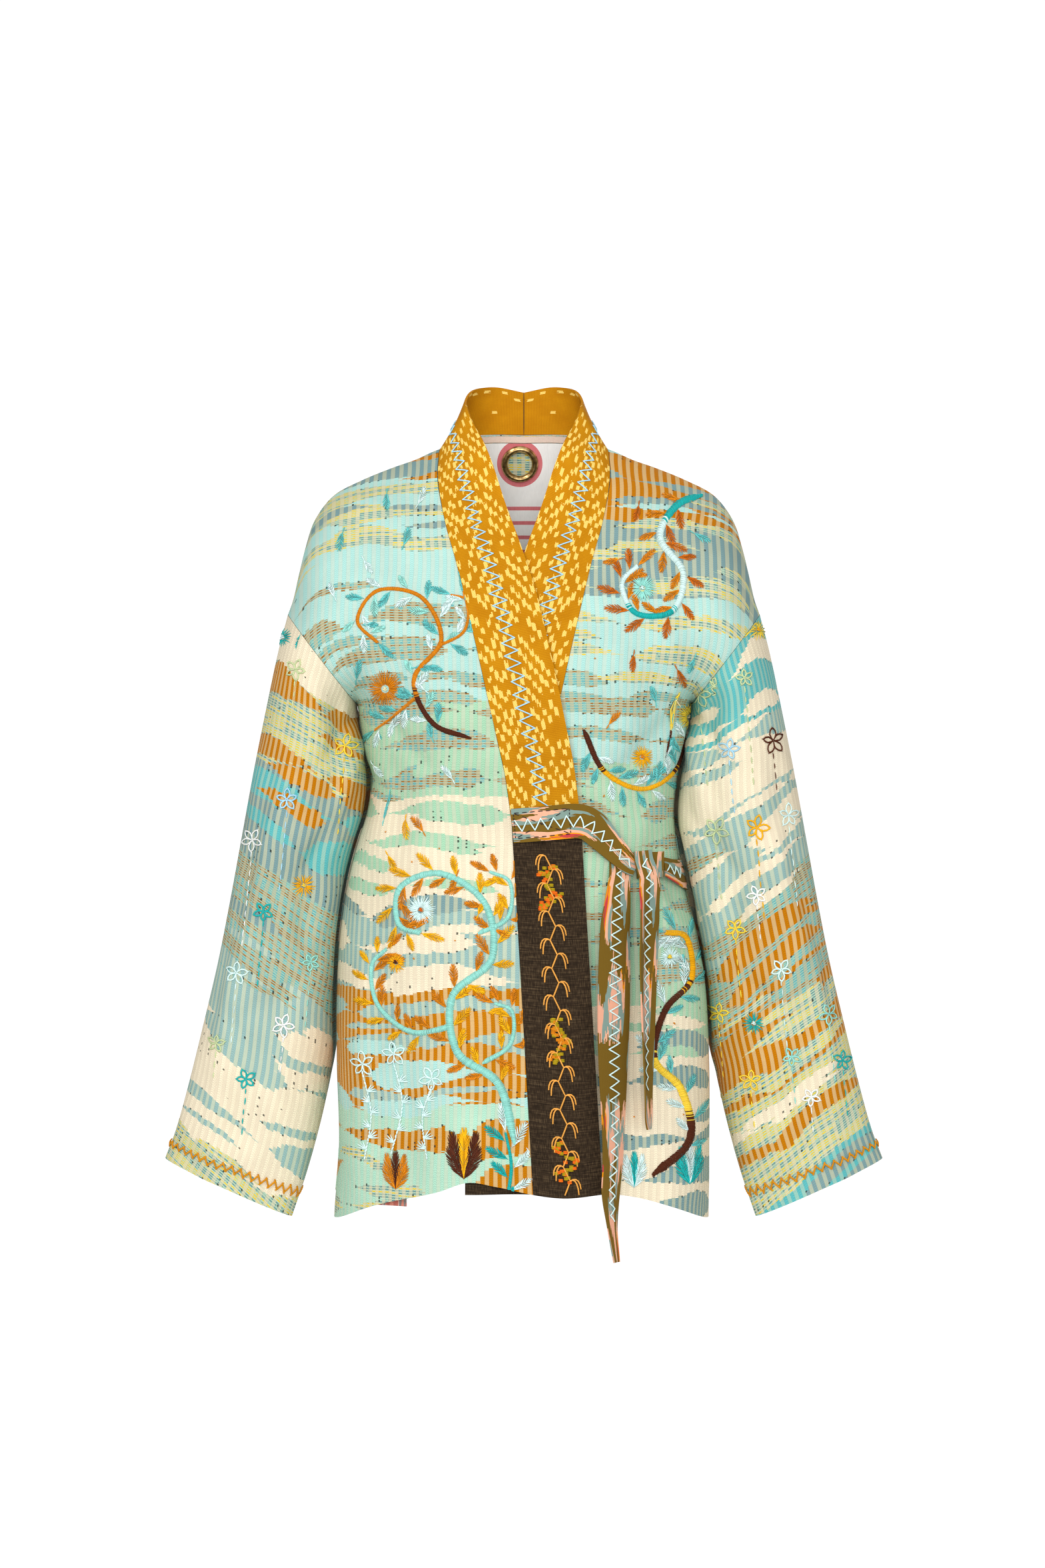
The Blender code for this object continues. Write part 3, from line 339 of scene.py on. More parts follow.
# Middle of the knot under the folded end
KNOT_X = (0.0986, 0.1170)
KNOT_Z = (-0.3930, -0.3705)
KNOT_LIFT = 0.0090
KNOT_DEPTH = 0.0079

# The panels' neck edge stands back from the collar's thicker foot
NECK_EASE = 0.0008

# Inside the back neck: the tape's edges in rows of the part's coarser yoke, and the eyelet's middle
TAPE_TOP_SHARE = 0.02
TAPE_SHARE = 0.24
COARSE_YOKE_ROWS = 10
EYELET_X, EYELET_Z = -0.0037, -0.0165


def smooth(knots, values, at):
    """A smooth curve through the values at the rising knots."""
    slopes = np.gradient(values, knots)
    at = np.clip(at, knots[0], knots[-1])
    low = np.clip(np.searchsorted(knots, at, side="right") - 1, 0, len(knots) - 2)
    step = knots[low + 1] - knots[low]
    u = (at - knots[low]) / step
    start = (2 * u**3 - 3 * u**2 + 1) * values[low] + (u**3 - 2 * u**2 + u) * step * slopes[low]
    end = (3 * u**2 - 2 * u**3) * values[low + 1] + (u**3 - u**2) * step * slopes[low + 1]
    return start + end


def by_row(rows, name, at):
    """A column of a table, read smoothly between its rows."""
    values = rows[name]
    return smooth(np.arange(len(values), dtype=float), values, at)


def ramp(value, start, end):
    """0 before start, 1 after end, soft between."""
    u = np.clip((value - start) / (end - start), 0, 1)
    return u * u * (3 - 2 * u)


def trunk(name, z):
    return smooth(TRUNK["z"], TRUNK[name], z)


def half_width(x, z):
    return np.where(x > 0, trunk("left", z), trunk("right", z))


def fold_height(folds, x, z):
    """Height of the soft folds at x and z, which fade at both ends of each fold."""
    total = np.zeros(np.broadcast(x, z).shape)
    for x0, z0, x1, z1, wide, height in zip(*folds.values()):
        length = math.hypot(x1 - x0, z1 - z0)
        along = ((x - x0) * (x1 - x0) + (z - z0) * (z1 - z0)) / length
        apart = ((x - x0) * (z1 - z0) - (z - z0) * (x1 - x0)) / length
        past = np.maximum(np.maximum(-along, along - length), 0)
        total = total + height * np.exp(-((apart / wide) ** 2) - (past / (FOLD_FADE * wide)) ** 2)
    return total


def front_y(x, z):
    """Depth of the front's surface below and above the underarm."""
    level = np.minimum(z, UNDERARM_Z)
    share = np.clip(np.abs(x) / half_width(x, level), 0, 1)
    across = (1 - share**TRUNK_POWER) ** (1 / TRUNK_POWER)
    top = np.interp(np.abs(x), SHOULDER["x"], SHOULDER["z"])
    rise = np.clip((top - z) / (top - UNDERARM_Z), 0, 1)
    chest = np.where(z < UNDERARM_Z, 1, np.sin(math.pi / 2 * rise**CHEST_POWER))
    return -trunk("front", level) * across * chest


def front_shift(x, z, over):
    """How far folds, and the lap of the right front over the left, move a front point out."""
    share = np.clip(np.abs(x) / half_width(x, np.minimum(z, UNDERARM_Z)), 0, 1)
    fold = fold_height(FRONT_FOLDS, x, z) * (1 - share**SIDE_CALM)
    return fold + over * LAP * ramp(x, *LAP_X) * ramp(-z, -LAP_Z[0], -LAP_Z[1])


def shift_front(grid, over):
    grid = grid.copy()
    grid[..., 1] -= front_shift(grid[..., 0], grid[..., 2], over)
    return grid


def collar_edge(edge, at):
    """Points of the collar's seam or free edge, for the left side, at rows of its tables."""
    x = np.concatenate([COLLAR_NECK[edge + "_x"], COLLAR_CHEST[edge + "_x"]])
    z = np.concatenate([COLLAR_NECK[edge + "_z"], COLLAR_CHEST[edge + "_z"]])
    laid = front_y(COLLAR_CHEST[edge + "_x"], COLLAR_CHEST[edge + "_z"])
    y = np.concatenate([COLLAR_NECK[edge + "_y"], laid])
    rows = np.arange(len(x), dtype=float)
    points = np.stack([smooth(rows, values, at) for values in (x, y, z)], axis=-1)
    on_chest = at >= len(COLLAR_NECK[edge + "_x"])
    points[..., 1] = np.where(on_chest, front_y(points[..., 0], points[..., 2]), points[..., 1])
    return points


def hem_z(hem, x):
    return smooth(hem["x"], hem["z"], x)


def band_line(side, edge, down):
    """x and z of a band's edge, where down goes from 0 at the waist to 1 at the hem."""
    at_waist, at_hem = BAND_EDGES[side][edge]
    x = at_waist + (at_hem - at_waist) * down
    hem = hem_z(HEM_RIGHT if side == RIGHT else HEM_LEFT, x)
    return x, WAIST_Z + (hem - WAIST_Z) * down


def coons(bottom, top, left, right):
    """A grid between four edges: rows from bottom to top, columns from left to right."""
    s = np.linspace(0, 1, len(left))[:, None, None]
    t = np.linspace(0, 1, len(bottom))[None, :, None]
    ruled = (1 - s) * bottom + s * top + (1 - t) * left[:, None] + t * right[:, None]
    low = (1 - t) * bottom[0] + t * bottom[-1]
    high = (1 - t) * top[0] + t * top[-1]
    return ruled - (1 - s) * low - s * high


def armhole(front, count, shift):
    """Half of the armhole seam from the underarm to its head, shift along the sleeve."""
    low, top = np.array(ARMHOLE_LOW), np.array(ARMHOLE_TOP)
    turn = np.linspace(0, math.pi, count)
    line = low + (top - low) * ((1 - np.cos(turn)) / 2)[:, None]
    along = (top - low) / np.linalg.norm(top - low)
    depth = ARMHOLE_DEPTH * np.sin(turn) * (-1 if front else 1)
    depth = np.where(np.abs(depth) < HALF_SEAM, HALF_SEAM * (-1 if front else 1), depth)
    return np.stack([line[:, 0] + shift * along[1], depth, line[:, 1] - shift * along[0]], -1)


def armhole_normals(front, count):
    """Directions out of the armhole seam, which body and sleeve share over the shoulder."""
    low, top = np.array(ARMHOLE_LOW), np.array(ARMHOLE_TOP)
    along = (top - low) / np.linalg.norm(top - low)
    reach = np.linalg.norm(top - low) / 2
    turn = np.linspace(0, math.pi, count)
    up = -np.cos(turn) / reach
    out = np.sin(turn) / ARMHOLE_DEPTH * (-1 if front else 1)
    normals = np.stack([up * along[0], out, up * along[1]], -1)
    return normals / np.linalg.norm(normals, axis=1)[:, None]


def shoulder_line(columns, front):
    """The shoulder seam from the neck point to the armhole's head, evenly spaced."""
    rows = np.linspace(NECK_POINT, len(SHOULDER["x"]) - 1, 400)
    x, z = by_row(SHOULDER, "x", rows), by_row(SHOULDER, "z", rows)
    run = np.concatenate([[0], np.cumsum(np.hypot(np.diff(x), np.diff(z)))])
    even = np.linspace(0, run[-1], columns + 1)
    y = np.full(columns + 1, -HALF_SEAM if front else HALF_SEAM)
    points = np.stack([np.interp(even, run, x), y, np.interp(even, run, z)], -1)
    points[0, 0] += NECK_EASE
    return points


def chest_levels():
    """Levels of the rows from the waist to the underarm."""
    rows = np.linspace(COLLAR_WAIST, COLLAR_UNDERARM, CHEST_ROWS + 1)
    return collar_edge("seam", rows)[:, 2]


def front_row(side, z_side, edge_x):
    """x along a row of a front panel from its front edge to the side seam, with equal turns."""
    width = trunk("left" if side == LEFT else "right", z_side)
    share = (side * edge_x + HALF_SEAM) / width
    start = math.acos(math.copysign(abs(share) ** (TRUNK_POWER / 2), share))
    turns = np.linspace(start, 0, FRONT_COLUMNS + 1)
    cosine = np.cos(turns)
    return side * width * np.sign(cosine) * np.abs(cosine) ** (2 / TRUNK_POWER)


def front_panel(side):
    """Outer face of a front: skirt, waist to underarm, and yoke."""
    hem = HEM_LEFT if side == LEFT else HEM_RIGHT
    rows = []
    for down in np.linspace(1, 0, SKIRT_ROWS + 1):
        edge_x, _ = band_line(side, "seam", down)
        z_side = WAIST_Z + (SIDE_HEM_Z - WAIST_Z) * down
        x = front_row(side, z_side, edge_x)
        z = WAIST_Z + (hem_z(hem, x) - WAIST_Z) * down
        z[-1] = z_side
        rows.append(np.stack([x, front_y(x, z), z], -1))
    collar_z = COLLAR_CHEST["seam_z"][::-1]
    collar_row = np.arange(len(collar_z))[::-1] + len(COLLAR_NECK["seam_x"])
    for z in chest_levels()[1:]:
        edge = collar_edge("seam", np.interp([z], collar_z, collar_row))[0]
        x = front_row(side, z, side * edge[0])
        level_z = np.full(len(x), z)
        rows.append(np.stack([x, front_y(x, level_z), level_z], -1))
    grid = np.array(rows)
    grid[:, -1, 1] = -HALF_SEAM
    bottom = grid[-1] * (side, 1, 1)
    at = np.linspace(COLLAR_UNDERARM, COLLAR_NECK_POINT, YOKE_ROWS + 1)
    left = collar_edge("seam", at)
    left[:, 0] += HALF_SEAM + NECK_EASE * ramp(left[:, 2], -0.080, -0.030)
    top = shoulder_line(FRONT_COLUMNS, True)
    right = armhole(True, YOKE_ROWS + 1, -HALF_SEAM)
    left[0], left[-1] = bottom[0], top[0]
    right[0], right[-1] = bottom[-1], top[-1]
    yoke = coons(bottom, top, left, right) * (side, 1, 1)
    return shift_front(np.concatenate([grid, yoke[1:]]), over=side == RIGHT)


def back_y(x, z):
    share = np.clip(np.abs(x) / half_width(x, z), 0, 1)
    return trunk("back", z) * (1 - share**TRUNK_POWER) ** (1 / TRUNK_POWER)


def back_half(side):
    """Outer face of half the back, from its middle to the side seam."""
    columns = NECK_COLUMNS + FRONT_COLUMNS
    turns = np.linspace(math.pi / 2, 0, columns + 1)
    rows = []
    for down in np.linspace(1, 0, SKIRT_ROWS + 1):
        z_side = WAIST_Z + (SIDE_HEM_Z - WAIST_Z) * down
        width = trunk("left" if side == LEFT else "right", z_side)
        x = side * width * np.cos(turns) ** (2 / TRUNK_POWER)
        z = WAIST_Z + (hem_z(HEM_BACK, np.abs(x)) - WAIST_Z) * down
        z[-1] = z_side
        rows.append(np.stack([x, back_y(x, z), z], -1))
    for level in chest_levels()[1:]:
        width = trunk("left" if side == LEFT else "right", level)
        x = side * width * np.cos(turns) ** (2 / TRUNK_POWER)
        z = np.full(len(x), level)
        rows.append(np.stack([x, back_y(x, z), z], -1))
    grid = np.array(rows)
    grid[:, -1, 1] = HALF_SEAM
    bottom = grid[-1] * (side, 1, 1)
    neck = collar_edge("seam", np.linspace(0, COLLAR_NECK_POINT, NECK_COLUMNS + 1))
    neck[:, 2] -= HALF_SEAM
    neck[:, :2] *= 1 + NECK_EASE / np.linalg.norm(neck[:, :2], axis=1)[:, None]
    top = np.concatenate([neck[:-1], shoulder_line(FRONT_COLUMNS, False)])
    rise = np.linspace(1, 0, YOKE_ROWS + 1)
    spine_y = neck[0, 1] + (bottom[0, 1] - neck[0, 1]) * np.sin(math.pi / 2 * rise)
    spine_z = neck[0, 2] + (UNDERARM_Z - neck[0, 2]) * rise
    left = np.stack([np.zeros(len(rise)), spine_y, spine_z], -1)
    right = armhole(False, YOKE_ROWS + 1, -HALF_SEAM)
    left[0], left[-1] = bottom[0], top[0]
    right[0], right[-1] = bottom[-1], top[-1]
    yoke = coons(bottom, top, left, right) * (side, 1, 1)
    return np.concatenate([grid, yoke[1:]])


def back_panel():
    """Outer face of the whole back, from the right side seam to the left one."""
    right, left = back_half(RIGHT), back_half(LEFT)
    grid = np.concatenate([right[:, ::-1], left[:, 1:]], axis=1)
    x, z = grid[..., 0], grid[..., 2]
    share = np.clip(np.abs(x) / half_width(x, np.minimum(z, UNDERARM_Z)), 0, 1)
    grid[..., 1] += fold_height(BACK_FOLDS, x, z) * (1 - share**SIDE_CALM)
    return grid


def collar_strip(side):
    """Outer face of a collar band, rows from the centre back to the waist."""
    at = np.concatenate(
        [
            np.linspace(0, COLLAR_NECK_POINT, NECK_COLUMNS + 1),
            np.linspace(COLLAR_NECK_POINT, COLLAR_UNDERARM, YOKE_ROWS + 1)[1:],
            np.linspace(COLLAR_UNDERARM, COLLAR_WAIST, CHEST_ROWS + 1)[1:],
        ]
    )
    seam, free = collar_edge("seam", at), collar_edge("free", at)
    across = free - seam
    seam = seam + across / np.linalg.norm(across, axis=1)[:, None] * HALF_SEAM
    columns = np.linspace(0, 1, BAND_COLUMNS + 1)
    grid = seam[:, None] + (free - seam)[:, None] * columns[None, :, None]
    laid = ramp(at, len(COLLAR_NECK["seam_x"]) - 3, len(COLLAR_NECK["seam_x"]))[:, None]
    grid[..., 1] += laid * (front_y(grid[..., 0], grid[..., 2]) - grid[..., 1])
    grid[0, :, 0] = HALF_SEAM
    grid[-1, :, 2] += HALF_SEAM
    grid[..., 0] *= side
    return shift_front(grid, over=side == RIGHT)


def lower_band(side):
    """Outer face of the dark band on a front's edge, rows from the waist to the hem."""
    hem = HEM_LEFT if side == LEFT else HEM_RIGHT
    rows = []
    for down in np.linspace(0, 1, SKIRT_ROWS + 1):
        seam_x = band_line(side, "seam", down)[0] - side * HALF_SEAM
        free_x = band_line(side, "free", down)[0]
        x = np.linspace(seam_x, free_x, BAND_COLUMNS + 1)
        z = WAIST_Z + (hem_z(hem, x) - WAIST_Z) * down
        rows.append(np.stack([x, front_y(x, z), z], -1))
    grid = np.array(rows)
    grid[0, :, 2] -= HALF_SEAM
    return shift_front(grid, over=side == RIGHT)


def sleeve_tube(side):
    """Outer face of a sleeve: rings from the armhole to the cuff."""
    segments = 2 * YOKE_ROWS
    rows = np.linspace(0, len(SLEEVE["depth"]) - 1, SLEEVE_ROWS)
    turn = np.arange(segments) * 2 * math.pi / segments
    rings = []
    for row in rows:
        outer_x, outer_z, inner_x, inner_z, depth, middle_y, power = (
            float(by_row(SLEEVE, name, np.array(row))) for name in SLEEVE
        )
        settled = float(ramp(row, 0, SETTLED_ROW))
        torso = float(trunk("left" if side == LEFT else "right", max(inner_z, SIDE_HEM_Z)))
        pressed = min(inner_x, torso - SLEEVE_PRESS)
        inner_x += settled * (pressed - inner_x) * float(ramp(inner_z, *PRESS_Z))
        out = -np.sign(np.cos(turn)) * np.abs(np.cos(turn)) ** (2 / power)
        fore = -np.sign(np.sin(turn)) * np.abs(np.sin(turn)) ** (2 / power)
        x = (outer_x + inner_x) / 2 + out * (outer_x - inner_x) / 2
        z = (outer_z + inner_z) / 2 + out * (outer_z - inner_z) / 2
        y = middle_y + fore * depth
        inward = (1 - out) / 2
        x = x - settled * SLEEVE_SKEW * fore * inward * float(ramp(inner_z, *SKEW_Z))
        x, y = add_sleeve_folds(x, y, row, turn, (outer_x + inner_x) / 2, middle_y)
        limit = torso_side(side, y, z) + SLEEVE_CLEAR * settled
        if side == LEFT:
            limit = limit + TIE_ROOM * np.exp(-(((z - TIE_ROOM_Z) / TIE_ROOM_REACH) ** 4))
        past = x - limit
        soft = SLEEVE_SOFT * settled
        x = np.where(inward > INNER_SIDE, limit + (past + np.sqrt(past**2 + soft**2)) / 2, x)
        rings.append(np.stack([x, y, z], -1))
    grid = np.array(rings)
    grid[0] = sleeve_head()
    return grid * (side, 1, 1)


def sleeve_head():
    """The sleeve's first ring, a seam's gap away from the armhole of the body."""
    front = armhole(True, YOKE_ROWS + 1, HALF_SEAM)
    back = armhole(False, YOKE_ROWS + 1, HALF_SEAM)
    front[0, 1] = front[-1, 1] = 0
    ring = np.concatenate([front, back[-2:0:-1]])
    ring[0, 0] += SEAM
    return ring


def add_sleeve_folds(x, y, row, turn, middle_x, middle_y):
    """Move a ring's points in or out along its folds."""
    reach = np.hypot(x - middle_x, y - middle_y)
    height = np.zeros(len(turn))
    for row0, turn0, row1, turn1, wide, high in zip(*SLEEVE_FOLDS.values()):
        share = np.clip((row - row0) / (row1 - row0), 0, 1)
        past = max(row0 - row, row - row1, 0) * SLEEVE_SPACING
        apart = (turn / (2 * math.pi) - (turn0 + (turn1 - turn0) * share)) * SLEEVE_GIRTH
        height = height + high * np.exp(-((apart / wide) ** 2) - (past / (2 * wide)) ** 2)
    return x + (x - middle_x) / reach * height, y + (y - middle_y) / reach * height


def torso_side(side, y, z):
    """Half-width of the trunk at a depth and a height, for the side in question."""
    level = np.minimum(z, UNDERARM_Z)
    width = trunk("left" if side == LEFT else "right", level)
    depth = np.where(y < 0, trunk("front", level), trunk("back", level))
    share = np.clip(np.abs(y) / depth, 0, 1)
    return width * (1 - share**TRUNK_POWER) ** (1 / TRUNK_POWER)


def on_front(x, z, lift):
    """A point lifted from the front's surface along its normal."""
    level = np.maximum(z, FRONT_LOW_Z)
    step = SLOPE_STEP

    def depth(px, pz):
        return front_y(px, pz) - front_shift(px, pz, over=False)

    slope_x = (depth(x + step, level) - depth(x - step, level)) / (2 * step)
    slope_z = (depth(x, level + step) - depth(x, level - step)) / (2 * step)
    normal = np.stack([slope_x, -np.ones_like(slope_x), slope_z], -1)
    normal /= np.linalg.norm(normal, axis=-1)[..., None]
    return np.stack([x, depth(x, level), z], -1) + normal * np.asarray(lift)[..., None]


def strip_values(rows):
    """A tie's columns in order, at even steps between its table's rows."""
    count = len(rows["z"])
    at = np.linspace(0, count - 1, (count - 1) * TIE_STEPS + 1)
    return [by_row(rows, name, at) for name in rows]


def tie_strip(rows):
    """Outer face of a tie: it follows the front, and turns about its length."""
    x, z, width, turn, lift = strip_values(rows)
    run_x, run_z = np.gradient(x), np.gradient(z)
    length = np.hypot(run_x, run_z)
    side_x, side_z = run_z / length, -run_x / length
    across = np.linspace(-0.5, 0.5, TIE_COLUMNS + 1)[None] * width[:, None]
    flat = across * np.cos(np.radians(turn))[:, None]
    raised = across * np.sin(np.radians(turn))[:, None]
    place_x = x[:, None] + flat * side_x[:, None]
    place_z = z[:, None] + flat * side_z[:, None]
    return on_front(place_x, place_z, lift[:, None] + raised)


def side_tie_strip():
    """Outer face of the side tie, round the trunk from the side seam to the knot."""
    angle, z, width, lift = strip_values(TIE_SIDE)
    across = np.linspace(0.5, -0.5, TIE_COLUMNS + 1)[None] * width[:, None]
    level = z[:, None] + across
    turn = np.radians(angle)[:, None] + 0 * across

    def place(a, h):
        x = trunk("left", h) * np.cos(a) ** (2 / TRUNK_POWER)
        y = -trunk("front", h) * np.sin(a) ** (2 / TRUNK_POWER)
        return np.stack([x, y - front_shift(x, h, over=False), h], -1)

    step = SLOPE_STEP
    round_it = place(turn + step, level) - place(turn - step, level)
    up = place(turn, level + step) - place(turn, level - step)
    normal = np.cross(up, round_it)
    normal /= np.linalg.norm(normal, axis=-1)[..., None]
    return place(turn, level) + normal * lift[:, None, None]


def knot_block():
    """Outer face of the knot's middle, a small pad on the front."""
    x = np.linspace(*KNOT_X, 4)[None, :]
    z = np.linspace(*KNOT_Z, 5)[:, None]
    x, z = np.broadcast_arrays(x, z)
    return on_front(x, z, np.full(x.shape, KNOT_LIFT))


def grid_normals(grid, closed, flip):
    """Directions out of a grid at its points, from its neighbours."""
    along = np.gradient(grid, axis=0)
    if closed:
        around = np.roll(grid, -1, axis=1) - np.roll(grid, 1, axis=1)
    else:
        around = np.gradient(grid, axis=1)
    normals = np.cross(around, along) * (-1 if flip else 1)
    return normals / np.linalg.norm(normals, axis=-1)[..., None]


def level_normals(normals, axis):
    """The same directions without their part along one axis."""
    flat = normals.copy()
    flat[..., axis] = 0
    return flat / np.linalg.norm(flat, axis=-1)[..., None]


def seam_edges(outer, flip, front, side_columns):
    """Directions at the side seams and the armholes of a body panel."""
    normals = grid_normals(outer, False, flip)
    first_yoke = SKIRT_ROWS + CHEST_ROWS
    head = armhole_normals(front, YOKE_ROWS + 1)
    upper = YOKE_ROWS // 2
    edges = []
    for column, side in side_columns.items():
        low = np.s_[: first_yoke + 1, column]
        edges.append((low, level_normals(normals[low], 1)))
        edges.append((np.s_[first_yoke + upper :, column], head[upper:] * (side, 1, 1)))
    return edges


def stand_out(grid, flip, distance):
    return grid + grid_normals(grid, False, flip) * distance


def inside_strip(back, rows):
    """Points of the back's inner side under the neck seam, that many rows below its top."""
    middle = NECK_COLUMNS + FRONT_COLUMNS
    reach = NECK_COLUMNS - 1
    columns = slice(middle - reach, middle + reach + 1)
    inner = back - grid_normals(back, False, True) * (WALL + LAID)
    part = inner[::-1][:, columns]
    points = [(1 - row % 1) * part[int(row)] + row % 1 * part[int(row) + 1] for row in rows]
    return np.array(points)[::-1]


# Smaller creases of the cloth, as soft troughs and ridges
CREASES_RIGHT = table("""
    x0 z0 x1 z1 half_width height
    -0.142 -0.232 -0.088 -0.292 0.008 -0.0025
    -0.150 -0.262 -0.112 -0.322 0.009 0.0023
    -0.140 -0.300 -0.086 -0.350 0.009 -0.0022
    -0.122 -0.150 -0.134 -0.232 0.010 0.0025
    -0.076 -0.395 -0.092 -0.520 0.011 -0.0025
    -0.050 -0.370 -0.020 -0.440 0.009 0.0019
    -0.138 -0.470 -0.150 -0.640 0.011 0.0028
    -0.104 -0.540 -0.098 -0.670 0.010 -0.0023
    -0.030 -0.500 -0.026 -0.640 0.011 0.0022
""")
CREASES_LEFT = table("""
    x0 z0 x1 z1 half_width height
    0.142 -0.236 0.086 -0.300 0.008 -0.0025
    0.136 -0.268 0.104 -0.350 0.009 0.0023
    0.124 -0.150 0.134 -0.232 0.010 0.0025
    0.134 -0.410 0.116 -0.376 0.007 -0.0028
    0.140 -0.440 0.112 -0.405 0.008 0.0025
    0.150 -0.480 0.150 -0.660 0.013 0.0028
    0.122 -0.500 0.116 -0.680 0.010 -0.0025
    0.066 -0.420 0.074 -0.640 0.011 -0.0022
    0.060 -0.380 0.088 -0.372 0.007 0.0019
""")
CREASES_BACK = table("""
    x0 z0 x1 z1 half_width height
    -0.142 -0.236 -0.082 -0.300 0.009 -0.0028
    -0.128 -0.290 -0.070 -0.352 0.010 0.0025
    0.146 -0.240 0.092 -0.312 0.009 -0.0028
    0.120 -0.300 0.060 -0.360 0.010 0.0025
    -0.030 -0.330 0.040 -0.352 0.010 -0.0019
    -0.034 -0.400 -0.040 -0.620 0.013 -0.0023
    0.050 -0.410 0.060 -0.650 0.013 -0.0023
    -0.112 -0.430 -0.122 -0.650 0.013 0.0028
    0.124 -0.420 0.136 -0.660 0.013 0.0025
""")
CREASES_SLEEVE = table("""
    row0 turn0 row1 turn1 half_width height
    0.6 0.06 2.6 0.24 0.009 -0.0032
    1.4 0.04 3.6 0.22 0.009 0.0026
    2.8 0.08 4.6 0.26 0.009 -0.0026
    4.2 0.30 5.6 0.18 0.010 0.0023
    5.4 0.12 6.8 0.30 0.009 -0.0023
    3.0 0.34 6.6 0.40 0.013 -0.0023
    6.6 0.20 9.0 0.22 0.011 0.0020
    0.8 0.94 2.6 0.78 0.009 -0.0029
    2.0 0.94 4.2 0.80 0.010 0.0023
    5.0 0.90 6.8 0.74 0.010 -0.0023
    5.8 0.62 9.2 0.60 0.013 0.0020
""")
CREASES = {"front_right": CREASES_RIGHT, "front_left": CREASES_LEFT, "back": CREASES_BACK}

# Creases fade over this distance from a panel's edges
CREASE_EDGE = 0.012


def srgb(red, green, blue):
    """A colour as the eye names it, in 0 to 255, turned to light."""
    values = np.array([red, green, blue]) / 255
    light = np.where(values <= 0.04045, values / 12.92, ((values + 0.055) / 1.055) ** 2.4)
    return tuple(float(value) for value in light)


class Value:
    """A number that a shader works out. Sums with it make the nodes for them."""

    def __init__(self, graph, socket):
        self.graph, self.socket = graph, socket

    def math(self, operation, *others):
        return self.graph.math(operation, self, *others)

    def __add__(self, other):
        return self.math("ADD", other)

    def __radd__(self, other):
        return self.graph.math("ADD", other, self)

    def __sub__(self, other):
        return self + -other

    def __rsub__(self, other):
        return other + -self

    def __neg__(self):
        return self * -1.0

    def __mul__(self, other):
        return self.math("MULTIPLY", other)

    def __truediv__(self, size):
        return self * (1 / size)

    def __lt__(self, other):
        return self.math("LESS_THAN", other)

    def __gt__(self, other):
        return self.graph.math("LESS_THAN", other, self)

    def __abs__(self):
        return self.math("ABSOLUTE")

    def floor(self):
        return self.math("FLOOR")

    def fract(self):
        return self.math("FRACT")

    def fold(self, size=0.5):
        """Up to size and back to 0, over and over."""
        return self.math("PINGPONG", size)

    def soft(self, low, high):
        """0 below low, 1 above high, soft between; falls where high is below low."""
        made = self.graph.node("ShaderNodeMapRange", interpolation_type="SMOOTHSTEP")
        return self.graph.join_all((self, low, high, 0.0, 1.0), made)


